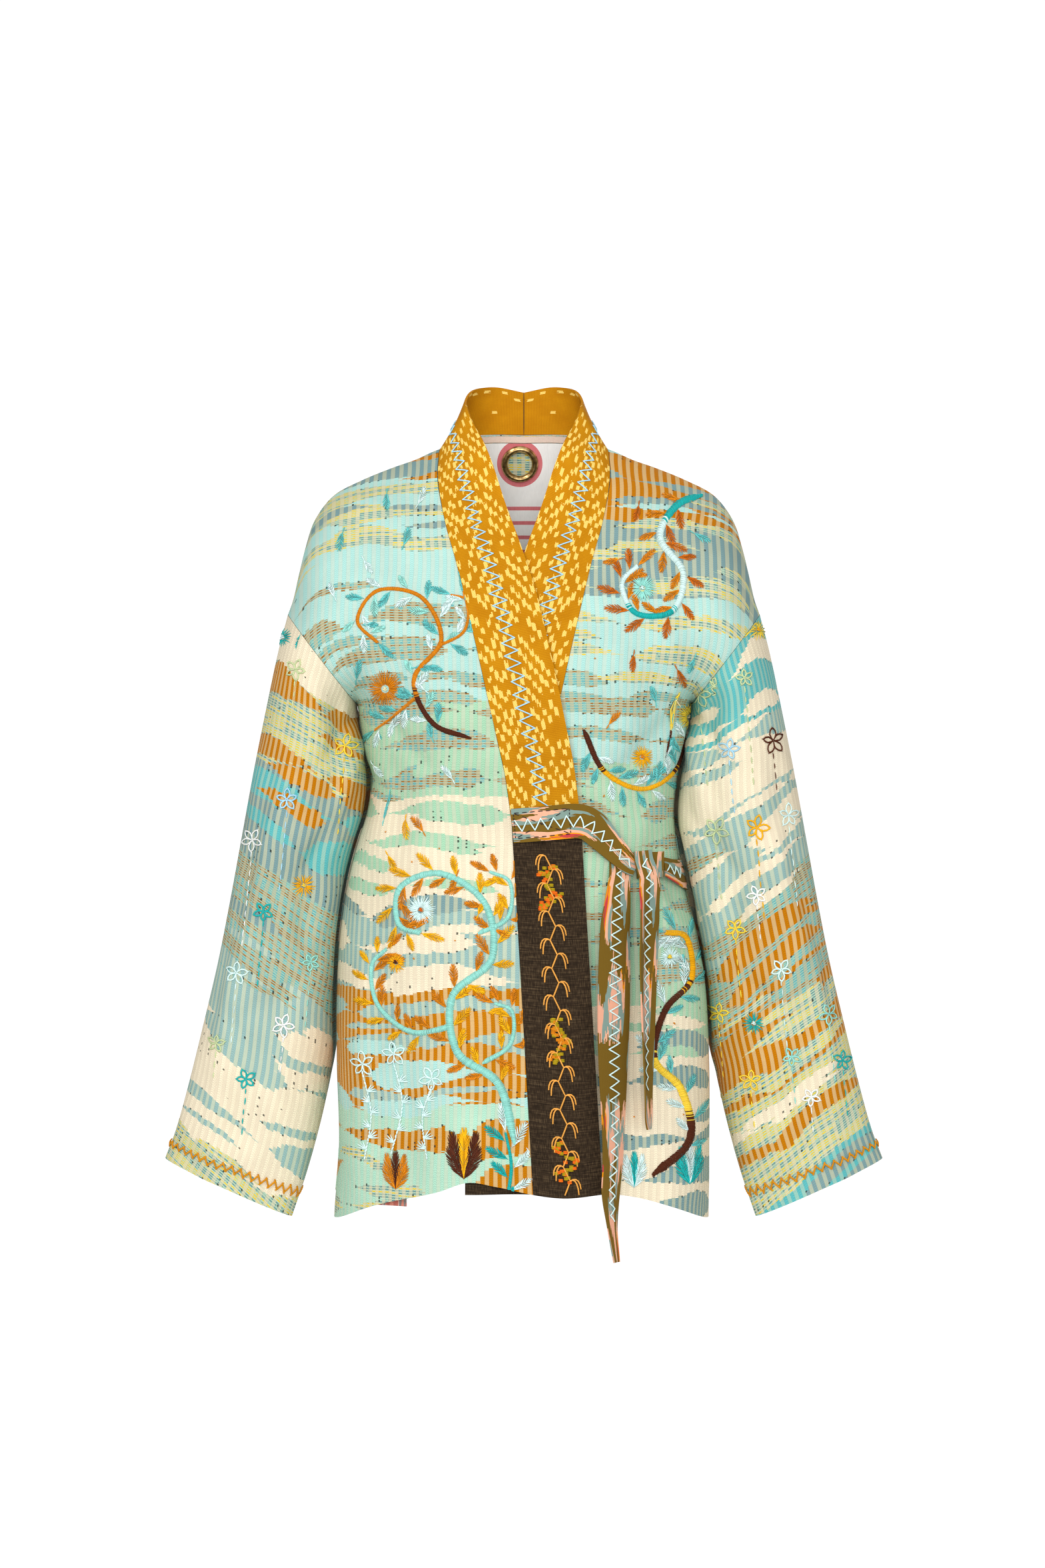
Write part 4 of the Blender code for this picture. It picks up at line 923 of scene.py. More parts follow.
class Graph:
    """The nodes of one material."""

    def __init__(self, name, roughness=0.85, sheen=0.02, metallic=0.0, gloss=0.10):
        self.made = bpy.data.materials.new(name)
        self.made.use_nodes = True
        self.tree = self.made.node_tree
        self.shader = self.tree.nodes["Principled BSDF"]
        looks = {
            "Roughness": roughness,
            "Metallic": metallic,
            "Sheen Weight": sheen,
            "Sheen Roughness": 0.5,
            "Specular IOR Level": gloss,
        }
        for socket, value in looks.items():
            self.shader.inputs[socket].default_value = value

    def node(self, kind, **settings):
        made = self.tree.nodes.new(kind)
        for name, value in settings.items():
            setattr(made, name, value)
        return made

    def join(self, value, socket):
        if isinstance(value, Value):
            self.tree.links.new(value.socket, socket)
        elif isinstance(value, tuple) and socket.type == "RGBA":
            socket.default_value = (*value, 1)
        else:
            socket.default_value = value

    def join_all(self, values, made):
        """Join the values to a node's inputs in order, and give its first output."""
        for value, socket in zip(values, made.inputs):
            self.join(value, socket)
        return Value(self, made.outputs[0])

    def math(self, operation, *values):
        return self.join_all(values, self.node("ShaderNodeMath", operation=operation))

    def vector(self, x, y, z=0.0):
        return self.join_all((x, y, z), self.node("ShaderNodeCombineXYZ"))

    def output(self, kind, output=0, **settings):
        return Value(self, self.node(kind, **settings).outputs[output])

    def split(self, vector):
        made = self.node("ShaderNodeSeparateXYZ")
        self.join(vector, made.inputs[0])
        return [Value(self, socket) for socket in made.outputs]

    def uv(self, layer):
        return self.split(self.output("ShaderNodeUVMap", uv_map=layer))[:2]

    def noise(self, *place, detail=1.0):
        """Soft noise at x, y and z, or at a vector."""
        made = self.node("ShaderNodeTexNoise", noise_dimensions="3D")
        spot = place[0] if len(place) == 1 else self.vector(*place)
        for name, value in (("Vector", spot), ("Scale", 1.0), ("Detail", detail), ("Roughness", 0.5)):
            self.join(value, made.inputs[name])
        return Value(self, made.outputs["Fac"])

    def chance(self, *place):
        """An even random number for each whole x, y and z."""
        made = self.node("ShaderNodeTexWhiteNoise", noise_dimensions="3D")
        self.join(self.vector(*place), made.inputs["Vector"])
        return Value(self, made.outputs["Value"])

    def mix(self, share, a, b, blend="MIX"):
        made = self.node("ShaderNodeMix", data_type="RGBA", blend_type=blend)
        for value, socket in zip((share, a, b), (made.inputs[0], made.inputs[6], made.inputs[7])):
            self.join(value, socket)
        return Value(self, made.outputs[2])

    def dimmed(self, colour, dim):
        return self.mix(1.0, colour, self.vector(dim, dim, dim), "MULTIPLY")

    def ramp(self, value, stops, interpolation="CONSTANT"):
        """Colour and alpha by position: stops is a list of (position, colour with 3 or 4 values)."""
        made = self.node("ShaderNodeValToRGB")
        self.join(value, made.inputs[0])
        scale = made.color_ramp
        scale.interpolation = interpolation
        for index, (position, colour) in enumerate(stops):
            place = min(max(position, 0), 1)
            stop = scale.elements[0] if index == 0 else scale.elements.new(place)
            stop.position = place
            stop.color = colour if len(colour) == 4 else (*colour, 1)
            if index == 0:
                scale.elements.remove(scale.elements[1])
        return Value(self, made.outputs[0]), Value(self, made.outputs[1])

    def bump(self, height, distance, strength):
        made = self.node("ShaderNodeBump")
        made.inputs["Strength"].default_value = strength
        made.inputs["Distance"].default_value = distance
        self.join(height, made.inputs["Height"])
        self.join(Value(self, made.outputs[0]), self.shader.inputs["Normal"])

    def colour(self, value):
        self.join(value, self.shader.inputs["Base Color"])
        return self.made


# Colour of each yarn on the twill ribs and on the flat ribs
YARN = {
    "mint": ((172, 216, 192), (190, 215, 190)),
    "aqua": ((170, 216, 208), (190, 217, 204)),
    "seafoam": ((164, 208, 174), (188, 208, 178)),
    "cream": ((239, 226, 197), (233, 219, 191)),
    "dusty": ((122, 154, 156), (176, 186, 164)),
    "haze": ((146, 180, 176), (188, 202, 180)),
    "ochre": ((190, 116, 0), (212, 174, 118)),
    "turquoise": ((92, 180, 182), (148, 196, 182)),
    "brown": ((146, 84, 14), (176, 146, 106)),
    "yellow": ((180, 206, 178), (210, 210, 176)),
    "plaid": ((156, 196, 178), (188, 190, 156)),
}

# The two colours of the lines drawn across some of them, and how strong the lines are
LINED = {
    "yellow": ((234, 196, 20), (98, 140, 142), 0.92),
    "plaid": ((164, 100, 10), (100, 172, 176), 0.95),
}

# A yarn's number is its place on a scale of this many
YARN_SHELF = 16

# Grounds of the cloth and the waves in it, from the top down: where each starts, and its yarn
CLOTH = {
    "front_right": (
        "ochre .016 dusty -.010 yellow -.094 aqua -.236 seafoam -.322 cream -.425 haze -.488 ochre "
        "-.602 mint",
        "dusty .006 ochre -.008 aqua -.080 dusty -.100 yellow -.135 plaid -.322 seafoam -.380 dusty -.440 "
        "cream -.500 haze -.550 aqua -.600 ochre -.660 yellow",
    ),
    "front_left": (
        "aqua .020 ochre -.070 dusty -.140 aqua -.300 seafoam -.505 cream",
        "ochre .006 dusty -.050 aqua -.072 yellow -.205 plaid -.490 seafoam -.530 dusty",
    ),
    "back": (
        "yellow -.060 aqua -.140 dusty -.185 mint -.262 cream -.330 seafoam -.410 ochre -.450 mint "
        "-.520 dusty -.556 cream -.610 aqua -.655 yellow",
        "aqua -.040 dusty -.080 yellow -.140 ochre -.185 plaid -.262 dusty -.300 seafoam -.330 plaid "
        "-.410 mint -.450 turquoise -.520 cream -.556 ochre -.610 plaid",
    ),
    "sleeve_right": (
        "aqua .010 cream -.036 yellow -.114 dusty -.200 plaid -.312 haze -.355 cream -.466 yellow",
        "plaid -.010 cream -.040 ochre -.062 yellow -.080 ochre -.110 turquoise -.185 dusty -.215 plaid "
        "-.240 dusty -.262 plaid -.285 haze -.335 cream -.352 haze -.385 cream -.405 haze -.450 yellow",
    ),
    "sleeve_left": (
        "aqua .020 turquoise -.062 cream -.128 haze -.214 plaid -.291 ochre -.375 yellow -.462 turquoise",
        "cream -.070 haze -.120 plaid -.150 cream -.200 ochre -.225 haze -.245 ochre -.291 plaid "
        "-.325 yellow -.375 cream -.400 yellow -.415 ochre -.440 yellow -.462 dusty",
    ),
}
CLOTH_SEED = {"front_right": 1.7, "front_left": 5.2, "back": 9.4, "sleeve_right": 13.1, "sleeve_left": 17.6}

# Heights that the scale of stripes runs between
BAND_LOW, BAND_HIGH = -0.74, 0.10

# Sizes of the weave, in metres: ribs, hatching, weft, drawn lines, the sway of the stripes and its
# length and height, their ragged ends, the ribs' wobble, dashes of the lines, rims of the waves and
# the shift of the smaller waves' rows
RIB = 0.0073
HATCH = 0.0020
WEFT = 0.0012
DRAWN = 0.0022
SWAY_LONG, SWAY_TALL, SWAY = 0.120, 0.110, 0.045
RAGGED, RAGGED_LONG = 0.0022, 0.03
WOBBLE = 0.008
DASH = 0.0018
RIM = 0.0008
ROW_SHIFT = 0.09

# Chains and chevrons of the collar's ikat, and flames of the ties' ikat, in metres
CHAIN_WIDE, CHAIN_LONG, CHEVRON = 0.0029, 0.0175, 0.0062
FLAME_WIDE, FLAME_LONG = 0.0085, 0.055

# Waves in the cloth: height of a row, length, share that is woven, and half-height in rows
WAVES = table("""
    tall long share half spread
    0.0290 0.135 0.80 0.17 0.25
    0.0205 0.088 0.42 0.13 0.20
""")


def wave(g, step, level, seed, tall, long, share, half, spread):
    """Where a wave of other yarn lies: a lens with a long thin tip, arched, row by row."""
    rows = level / tall
    row = rows.floor()
    run = step * (RIB / 2 / long) + g.chance(row, seed) * 0.5
    cell = run.floor()
    turned = g.chance(row, cell, seed + 1.0) < 0.5
    s = abs(run.fract() - turned)
    body = s.soft(0.02, 0.50) * s.soft(1.0, 0.84)
    arch = (s * (1.0 - s) * 4.0 - 0.6) * 0.16
    off = abs(rows.fract() - 0.5 - arch)
    reach = body * (half + g.chance(row, cell, seed + 3.0) * spread)
    woven = g.chance(row, cell, seed + 5.0) < share
    inside = (off < reach) * woven
    rim = (abs(off - reach) < RIM / tall) * woven
    return inside, rim, (row + 0.5) * tall


def yarn_ramp(g, level, words):
    """The shelf of the yarn at a height, from a text of yarns and the heights between them."""
    words = words.split()
    lows = [BAND_LOW, *(float(word) for word in words[1::2][::-1])]
    names = list(YARN)
    span = BAND_HIGH - BAND_LOW
    stops = []
    for low, yarn in zip(lows, words[::2][::-1]):
        shelf = (names.index(yarn) + 0.5) / YARN_SHELF
        stops.append(((low - BAND_LOW) / span, (shelf, shelf, shelf)))
    return g.ramp((level - BAND_LOW) / span, stops)[0]


def yarn_colours(g, yarn):
    """The colours of the yarn on a shelf: twill rib, flat rib, both drawn lines, their strength."""
    columns = [[], [], [], []]
    for index, (name, (twill, flat)) in enumerate(YARN.items()):
        first, second, strength = LINED.get(name, (twill, twill, 0.0))
        colours = srgb(*twill), srgb(*flat), (*srgb(*first), strength), srgb(*second)
        for column, colour in zip(columns, colours):
            column.append((index / YARN_SHELF, colour))
    (ribbed, _), (flat, _), (first, strength), (second, _) = (g.ramp(yarn, stops) for stops in columns)
    return ribbed, flat, first, second, strength


def striped_cotton(panel):
    """The striped cloth: ribs, grounds, and waves of other yarn that step from rib to rib."""
    ground, other = CLOTH[panel]
    seed = CLOTH_SEED[panel]
    g = Graph("striped_cotton_" + panel, roughness=0.9)
    u, v = g.uv("cloth")
    u = u + (g.noise(u * 9.0, v * 13.0, seed + 2.0) - 0.5) * WOBBLE
    ribs = u / RIB
    rib, across, step = ribs.floor(), ribs.fract(), (ribs * 2.0).floor()
    twill = across.soft(0.02, 0.08) * across.soft(0.58, 0.52)
    ragged = (g.chance(step, (v / RAGGED_LONG).floor(), seed) - 0.5) * RAGGED
    sway = g.noise(step * (RIB / 2 / SWAY_LONG), v / SWAY_TALL, seed)
    level = v + ragged + (sway - 0.5) * SWAY
    yarn = yarn_ramp(g, level, ground)
    rims = 0.0
    for index, sizes in enumerate(zip(*(WAVES[name].tolist() for name in WAVES))):
        inside, rim, row_level = wave(g, step, level, seed + 20.0 * (index + 1), *sizes)
        if index:
            row_level = row_level + (g.chance(row_level, seed + 7.0) - 0.5) * ROW_SHIFT
        yarn = yarn + inside * (yarn_ramp(g, row_level, other) - yarn)
        rims = g.math("MAXIMUM", rims, rim)
    ribbed, flat, first, second, strength = yarn_colours(g, yarn)
    base = g.mix(twill, flat, ribbed)

    # Lines drawn across the ribs, broken on the twill
    rows = v / DRAWN + g.chance(rib, 3.0, seed) * 0.25
    row = rows.floor()
    which = g.chance(row, (ribs * 0.25).floor(), seed + 1.0) < 0.5
    broken = g.chance(row, (u / DASH).floor(), 5.0).soft(0.10, 0.35)
    share = strength * rows.fold().soft(0.18, 0.26) * (0.36 + twill * 0.64 * broken)
    base = g.mix(share, base, g.mix(which, first, second))

    # Painted shade in the furrows of the weave's hatching and weft and along the ribs' edges, and wear
    hatch = (v / HATCH + abs(across - 0.3) * 2.2).fold()
    weft = (v / WEFT).fold()
    weave_relief_and_shade = (hatch * twill + weft * (1.0 - twill)) * 2.0
    # Darker where one rib meets the next: a painted shadow between the ribs
    edge = abs(across - 0.55).soft(0.0, 0.05)
    cloud = g.noise(u * 28.0, v * 28.0, seed + 4.0, detail=3.0)
    base = g.dimmed(base, (0.86 + weave_relief_and_shade * 0.23) * (0.89 + edge * 0.12) * (0.87 + cloud * 0.26))

    # Dark ends of yarn show where a wave steps at a rib
    end = (across < 0.24) * (g.chance(rib, (v * 90.0).floor(), 8.0) < 0.22)
    base = g.mix(rims * end * 0.85, base, srgb(38, 44, 40))
    pucker = g.noise(u * 60.0, v * 34.0, seed + 6.0, detail=2.0)
    g.bump(weave_relief_and_shade * 0.18 + twill * 0.10 + pucker * 1.1, 0.0012, 0.9)
    return g.colour(base)


def mustard_ikat():
    """The collar's mustard cloth: chains of pale dashes in chevrons, few at the back neck."""
    g = Graph("mustard_ikat_cloth", roughness=0.8, sheen=0.0)
    u, v = g.uv("cloth")
    column = (u / CHAIN_WIDE).floor()
    shift = (column + 44.0).fold(6.0) * CHEVRON + g.chance(column, 9.0) * 0.0030
    yarn = (u / 0.00117).floor()
    ragged = (g.chance(yarn, (v * 80.0).floor(), 2.0) - 0.5) * 0.0034
    along = (v + shift + ragged) / CHAIN_LONG
    cell = along.floor()
    length = 0.22 + g.chance(column, cell, 3.0) * 0.24
    off_neck = abs(v).soft(0.085, 0.125)
    dash = (along.fract() < length) * (g.chance(column, cell, 6.0) < 0.06 + off_neck * 0.70)
    hatch = (u * 700.0 + v * 520.0).fold()
    pale = g.mix(hatch * 1.7, srgb(248, 220, 130), srgb(232, 182, 56))
    weft, rib = (v / 0.0015).fold(), (u / 0.0010).fold()
    cloud = g.noise(u * 60.0, v * 40.0, detail=3.0)
    # The ground is darker in the furrows of its weft and ribs, painted shade of their relief; the cloud
    # varies its tone
    ground = g.mix(weft + (rib * 0.5 + (cloud - 0.6)), srgb(182, 116, 2), srgb(216, 152, 16))
    g.bump(weft + rib * 0.8, 0.0003, 0.7)
    return g.colour(g.mix(dash, ground, pale))


def dark_linen():
    """The bands' dark cloth, with paler flecks."""
    g = Graph("dark_linen_cloth", roughness=0.92)
    u, v = g.uv("cloth")
    slub = g.noise(u * 60.0, v * 900.0, detail=2.0)
    warp = g.noise(u * 1100.0, v * 160.0, 4.0, detail=2.0)
    fleck = slub * 0.6 + warp * 0.6
    tints = [(0.35, srgb(26, 19, 12)), (0.60, srgb(52, 40, 28)), (0.80, srgb(86, 70, 50))]
    g.bump((u * 1250.0).fold() + (v * 1250.0).fold() + fleck, 0.00025, 0.7)
    return g.colour(g.ramp(fleck, tints, "LINEAR")[0])


def tie_ikat(name, seed, ground, colours):
    """Ikat of the ties: long flames of colour with feathered ends, along the strip."""
    g = Graph(name, roughness=0.75)
    u, v = g.uv("cloth")
    feather = (g.chance((u / 0.0006).floor(), 1.0, seed) - 0.5) * 0.016
    along = (v + feather) / FLAME_LONG
    lane = u / FLAME_WIDE
    flame = g.noise(lane, along, seed, detail=0.0)
    hue = g.noise(lane * 0.9, along * 0.9, seed + 5.0, detail=0.0)
    base = g.mix(flame > 0.505, ground, g.ramp(hue, colours)[0])
    rib_relief_and_shade, weft = (u / 0.0007).fold(), (v / 0.0008).fold()
    g.bump(rib_relief_and_shade + weft * 0.4, 0.00012, 0.6)
    # Darker in the furrows of the ribs: painted shade of their relief
    return g.colour(g.dimmed(base, 0.90 + rib_relief_and_shade * 0.20))


def white_cotton():
    """White cotton of the neck panel, with plain coral bars and a coral disc behind the eyelet."""
    g = Graph("white_cotton_cloth", roughness=0.8)
    u, _, v = g.split(g.output("ShaderNodeTexCoord", "Object"))
    weave = g.noise(u * 900.0, v * 180.0, detail=2.0)
    white = g.mix(weave, srgb(240, 238, 234), srgb(254, 253, 250))
    bar = (v / 0.013 + 0.35).fold()
    far = g.node("ShaderNodeVectorMath", operation="LENGTH")
    g.join(g.vector(u - EYELET_X, v - EYELET_Z), far.inputs[0])
    disc = Value(g, far.outputs["Value"]) < 0.0208
    shown = g.math("MAXIMUM", (bar < 0.13) * (v < -0.046), disc)
    ink = g.mix(weave, srgb(206, 84, 92), srgb(222, 110, 116))
    g.bump(weave, 0.0001, 0.5)
    return g.colour(g.mix(shown * 0.92, white, ink))


def tape_cotton():
    """The neck tape's pale cotton."""
    g = Graph("tape_cloth")
    u, v = g.uv("cloth")
    weave = g.noise(u * 700.0, v * 700.0, detail=2.0)
    g.bump(weave, 0.00015, 0.6)
    return g.colour(g.mix(weave, srgb(226, 196, 178), srgb(244, 224, 208)))


def thread_material():
    """Embroidery cotton: each thread's own colour; the lines of its twisted plies are bumped, and darkened
    in their furrows as painted shade.
    """
    g = Graph("embroidery_thread", roughness=0.55, sheen=0.0, gloss=0.18)
    u, v = g.uv("strand")
    twist_and_shade = (u * 3.0 + v / 0.0011).fold()
    g.bump(twist_and_shade, 0.00012, 0.7)
    tint = g.output("ShaderNodeVertexColor", layer_name="thread")
    # Darker in the furrows between the plies: painted shade
    return g.colour(g.dimmed(tint, 0.88 + twist_and_shade * 0.30))


def antique_brass():
    """The eyelet's worn brass."""
    g = Graph("antique_brass_ring", roughness=0.30, sheen=0.0, metallic=1.0, gloss=0.5)
    spread = g.node("ShaderNodeVectorMath", operation="SCALE")
    g.join(g.output("ShaderNodeTexCoord", "Object"), spread.inputs[0])
    spread.inputs["Scale"].default_value = 260.0
    wear = g.noise(Value(g, spread.outputs[0]), detail=4.0)
    tints = [(0.35, srgb(146, 118, 76)), (0.60, srgb(212, 180, 122)), (0.80, srgb(244, 220, 170))]
    g.bump(wear, 0.00008, 0.4)
    return g.colour(g.ramp(wear, tints, "LINEAR")[0])


# Share of a side column's own extra length that its stripes follow
SIDE_LENGTHENING = 0.3


def grid_uv(grid, anchor_row):
    """Flat places of a panel's points: x and z, lengthened where the cloth turns in depth."""
    step = np.diff(grid, axis=1)
    extra = np.hypot(step[..., 0], step[..., 1]) - np.abs(step[..., 0])
    u = grid[..., 0].copy()
    middle = np.argmin(np.abs(grid[anchor_row, :, 0]))
    total = np.concatenate([np.zeros((len(grid), 1)), np.cumsum(extra, axis=1)], axis=1)
    way = np.sign(np.median(step[..., 0]))
    u += way * (total - total[:, middle : middle + 1])
    step = np.diff(grid, axis=0)
    extra = np.hypot(step[..., 2], step[..., 1]) - np.abs(step[..., 2])
    total = np.concatenate([np.zeros((1, grid.shape[1])), np.cumsum(extra, axis=0)], axis=0)
    total = total - total[anchor_row]
    shared = total[:, grid.shape[1] // 2, None]
    v = grid[..., 2] + shared + SIDE_LENGTHENING * (total - shared)
    return np.stack([u, v], -1)


def strip_uv(grid):
    """Flat places of a strip's points: across by columns, and along by rows."""
    across = np.linalg.norm(np.diff(grid, axis=1), axis=-1).sum(axis=1).mean()
    middle = grid[:, grid.shape[1] // 2]
    u, v = np.meshgrid(np.linspace(0, across, grid.shape[1]), run_along(middle))
    return np.stack([u, v], -1)


def run_along(points):
    """How far along a line of points each one lies."""
    return np.concatenate([[0], np.cumsum(np.linalg.norm(np.diff(points, axis=0), axis=1))])


def mean_width(grid):
    return float(np.linalg.norm(grid[:, -1] - grid[:, 0], axis=1).mean())


def flat_area(grid):
    """Area of a grid's surface."""
    a, b = grid[1:, 1:] - grid[:-1, :-1], grid[1:, :-1] - grid[:-1, 1:]
    return float(np.linalg.norm(np.cross(a, b), axis=-1).sum() / 2)


def grid_faces(rows, columns):
    """Numbers of a grid's points, and the faces between them."""
    index = np.arange(rows * columns).reshape(rows, columns)
    corners = [index[:-1, :-1], index[:-1, 1:], index[1:, 1:], index[1:, :-1]]
    return index, np.stack(corners, -1).reshape(-1, 4)


def new_piece(name, points, faces, layer, flat, made):
    """A mesh with flat places and a material, which rides on the part."""
    mesh = bpy.data.meshes.new(name)
    mesh.from_pydata(points.tolist(), [], faces.tolist())
    loops = np.empty(len(mesh.loops), dtype=np.int32)
    mesh.loops.foreach_get("vertex_index", loops)
    places = mesh.uv_layers.new(name=layer)
    places.data.foreach_set("uv", flat[loops].astype(np.float32).ravel())
    mesh.materials.append(made)
    piece = bpy.data.objects.new(name, mesh)
    bpy.context.scene.collection.objects.link(piece)
    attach(piece, "root")
    return piece


def shell(name, outer, normals, wall, flat, made):
    """A thin closed shell of cloth behind a grid, which stands for a node of the part."""
    rows, columns = outer.shape[:2]
    count = rows * columns
    index, front = grid_faces(rows, columns)
    faces = [front, front[:, ::-1] + count]
    for edge in (index[0], index[-1], index[:, 0], index[:, -1]):
        faces.append(np.stack([edge[:-1], edge[1:], edge[1:] + count, edge[:-1] + count], -1))
    points = np.concatenate([outer.reshape(-1, 3), (outer - normals * wall).reshape(-1, 3)])
    both = np.concatenate([flat.reshape(-1, 2)] * 2)
    piece = new_piece(name + "_cloth", points, np.concatenate(faces), "cloth", both, made)
    shape = bmesh.new()
    shape.from_mesh(piece.data)
    bmesh.ops.recalc_face_normals(shape, faces=shape.faces)
    shape.to_mesh(piece.data)
    shape.free()
    piece.data.shade_smooth()
    piece.data.set_sharp_from_angle(angle=SHARP_EDGE)
    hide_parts(name)
    return piece


class Surface:
    """A piece's outer face, which stitches are laid on."""

    def __init__(self, grid, normals):
        self.grid, self.normals = grid, normals
        rows, columns = grid.shape[:2]
        self.run = run_along(grid[:, columns // 2])
        self.length, self.width = float(self.run[-1]), mean_width(grid)
        faces = grid_faces(rows, columns)[1]
        self.tree = BVHTree.FromPolygons(grid.reshape(-1, 3).tolist(), faces.tolist())

    def at(self, down, across):
        """Points and directions at shares of the length and of the columns."""
        rows, columns = self.grid.shape[:2]
        r = np.interp(np.asarray(down, dtype=float) * self.run[-1], self.run, np.arange(rows))
        r = np.clip(r, 0, rows - 1.001)
        c = np.clip(np.asarray(across, dtype=float) * (columns - 1), 0, columns - 1.001)
        i, j = r.astype(int), c.astype(int)
        a, b = (r - i)[:, None], (c - j)[:, None]

        def read(values):
            low = values[i, j] * (1 - b) + values[i, j + 1] * b
            high = values[i + 1, j] * (1 - b) + values[i + 1, j + 1] * b
            return low * (1 - a) + high * a

        normals = read(self.normals)
        return read(self.grid), normals / np.linalg.norm(normals, axis=1)[:, None]

    def between(self, start, end, share):
        """Points and directions at shares of the way from one place of the face to another."""
        return self.at(*(low + (high - low) * share for low, high in zip(start, end)))

    def seen(self, x, z, behind=False):
        """Points and directions where lines from the front, or from behind, meet the face."""
        start, way = (1.0, -1.0) if behind else (-1.0, 1.0)
        points, normals = [], []
        for px, pz in zip(x, z):
            place, normal, _, _ = self.tree.ray_cast(Vector((px, start, pz)), Vector((0, way, 0)))
            if place is None:
                place, normal, _, _ = self.tree.find_nearest(Vector((px, start * 0.08, pz)))
            if normal.y * way > 0:
                normal = -normal
            points.append(place)
            normals.append(normal)
        return np.array(points), np.array(normals)


class Threads:
    """Many threads in one mesh."""

    flatness, end_share = 0.8, 0.3

    def __init__(self, sides=5):
        self.sides = sides
        self.points, self.faces, self.tints, self.flat = [], [], [], []
        self.count = 0

    def add(self, path, normals, radius, tint, sunk=0.5, arch=0.0, taper=0.45):
        """A thread of that radius along points on the cloth, thinner at its ends."""
        size, sides = len(path), self.sides
        share = np.linspace(0, 1, size)
        near_end = np.clip(np.abs(2 * share - 1) - (1 - self.end_share), 0, 1)
        thick = radius * (1 - (1 - taper) * near_end / self.end_share)
        lift = radius * self.flatness * (1 - sunk) + arch * np.sin(math.pi * share)
        centre = path + normals * np.broadcast_to(lift, size)[:, None]
        along = np.gradient(centre, axis=0)
        along /= np.maximum(np.linalg.norm(along, axis=1), 1e-9)[:, None]
        side = np.cross(along, normals)
        side /= np.maximum(np.linalg.norm(side, axis=1), 1e-9)[:, None]
        turn = np.arange(sides)[None, :, None] * 2 * math.pi / sides
        up = np.cross(side, along)[:, None]
        ring = np.cos(turn) * side[:, None] + self.flatness * np.sin(turn) * up
        self.points.append((centre[:, None] + ring * thick[:, None, None]).reshape(-1, 3))
        index = self.count + np.arange(size * sides).reshape(size, sides)
        following = np.roll(index, -1, axis=1)
        corners = [index[:-1], following[:-1], following[1:], index[1:]]
        self.faces.append(np.stack(corners, -1).reshape(-1, 4))
        u, v = np.meshgrid(np.arange(sides) / sides, run_along(centre))
        self.flat.append(np.stack([u, v], -1).reshape(-1, 2))
        tints = np.broadcast_to(np.asarray(tint, dtype=float), (size, 3))
        self.tints.append(np.repeat(tints, sides, axis=0))
        self.count += size * sides

    def build(self, name):
        points, faces, tints, flat = map(np.concatenate, (self.points, self.faces, self.tints, self.flat))
        mesh = new_piece(name, points, faces, "strand", flat, THREAD).data
        layer = mesh.color_attributes.new(name="thread", type="FLOAT_COLOR", domain="POINT")
        colours = np.concatenate([tints, np.ones((self.count, 1))], axis=1)
        layer.data.foreach_set("color", colours.astype(np.float32).ravel())
        mesh.shade_smooth()


# Colours of the threads
TINT = {
    "sky": srgb(176, 222, 244),
    "mint": srgb(160, 228, 216),
    "teal": srgb(30, 184, 180),
    "aqua": srgb(104, 200, 198),
    "pale": srgb(222, 248, 244),
    "ochre": srgb(222, 136, 16),
    "hem": srgb(214, 140, 0),
    "mustard": srgb(250, 184, 14),
    "gold": srgb(255, 218, 70),
    "apricot": srgb(240, 170, 78),
    "brown": srgb(88, 40, 18),
    "rust": srgb(206, 108, 14),
    "lime": srgb(178, 152, 16),
    "cream": srgb(252, 238, 190),
    "sage": srgb(206, 220, 168),
    "white": srgb(250, 252, 248),
    "dark": srgb(52, 42, 44),
    "orange": srgb(236, 112, 16),
}


def entries(text):
    """Rows of a text table under its line of names: numbers, and names of threads' colours."""
    lines = text.strip().splitlines()[1:]
    return [[word if word in TINT else float(word) for word in line.split()] for line in lines]


def shade(tint, chance, spread, dim=1.0):
    """A thread's colour by name, a little lighter or darker."""
    return np.clip(np.array(TINT[tint]) * dim * (1 + chance.uniform(-spread, spread)), 0, 1)


def heading(turn):
    """The way that an angle points, in x and z."""
    return np.array([math.cos(turn), math.sin(turn)])


def aside(way):
    """The way to the left of a way."""
    return np.array([-way[1], way[0]])


def curve(points, count):
    """A smooth line through points in x and z, as that many points."""
    points = np.array(points)
    rows = np.arange(len(points), dtype=float)
    at = np.linspace(0, len(points) - 1, count)
    return np.stack([smooth(rows, points[:, axis], at) for axis in (0, 1)], -1)


# Seeds of the random draws, by what is sewn
SEED = {
    "zigzag": 11,
    "vine": 21,
    "herringbone": 31,
    "sleeve fronts": 41,
    "sleeve backs": 51,
    "front_right": 61,
    "front_left": 71,
    "back": 81,
}

# Half-thickness of the threads, by the stitch that they make
SIZE = {
    "leaf": 0.00056,
    "leaf rib": 0.00050,
    "wrap": 0.00052,
    "petal": 0.00050,
    "heart": 0.0006,
    "loop": 0.00078,
    "running": 0.00062,
    "chain": 0.00092,
    "stalk": 0.0006,
    "speck": 0.0007,
    "zigzag": 0.00066,
    "edge": 0.00035,
    "tack": 0.00042,
    "vine": 0.00072,
    "cluster": 0.00056,
    "herringbone": 0.00085,
}


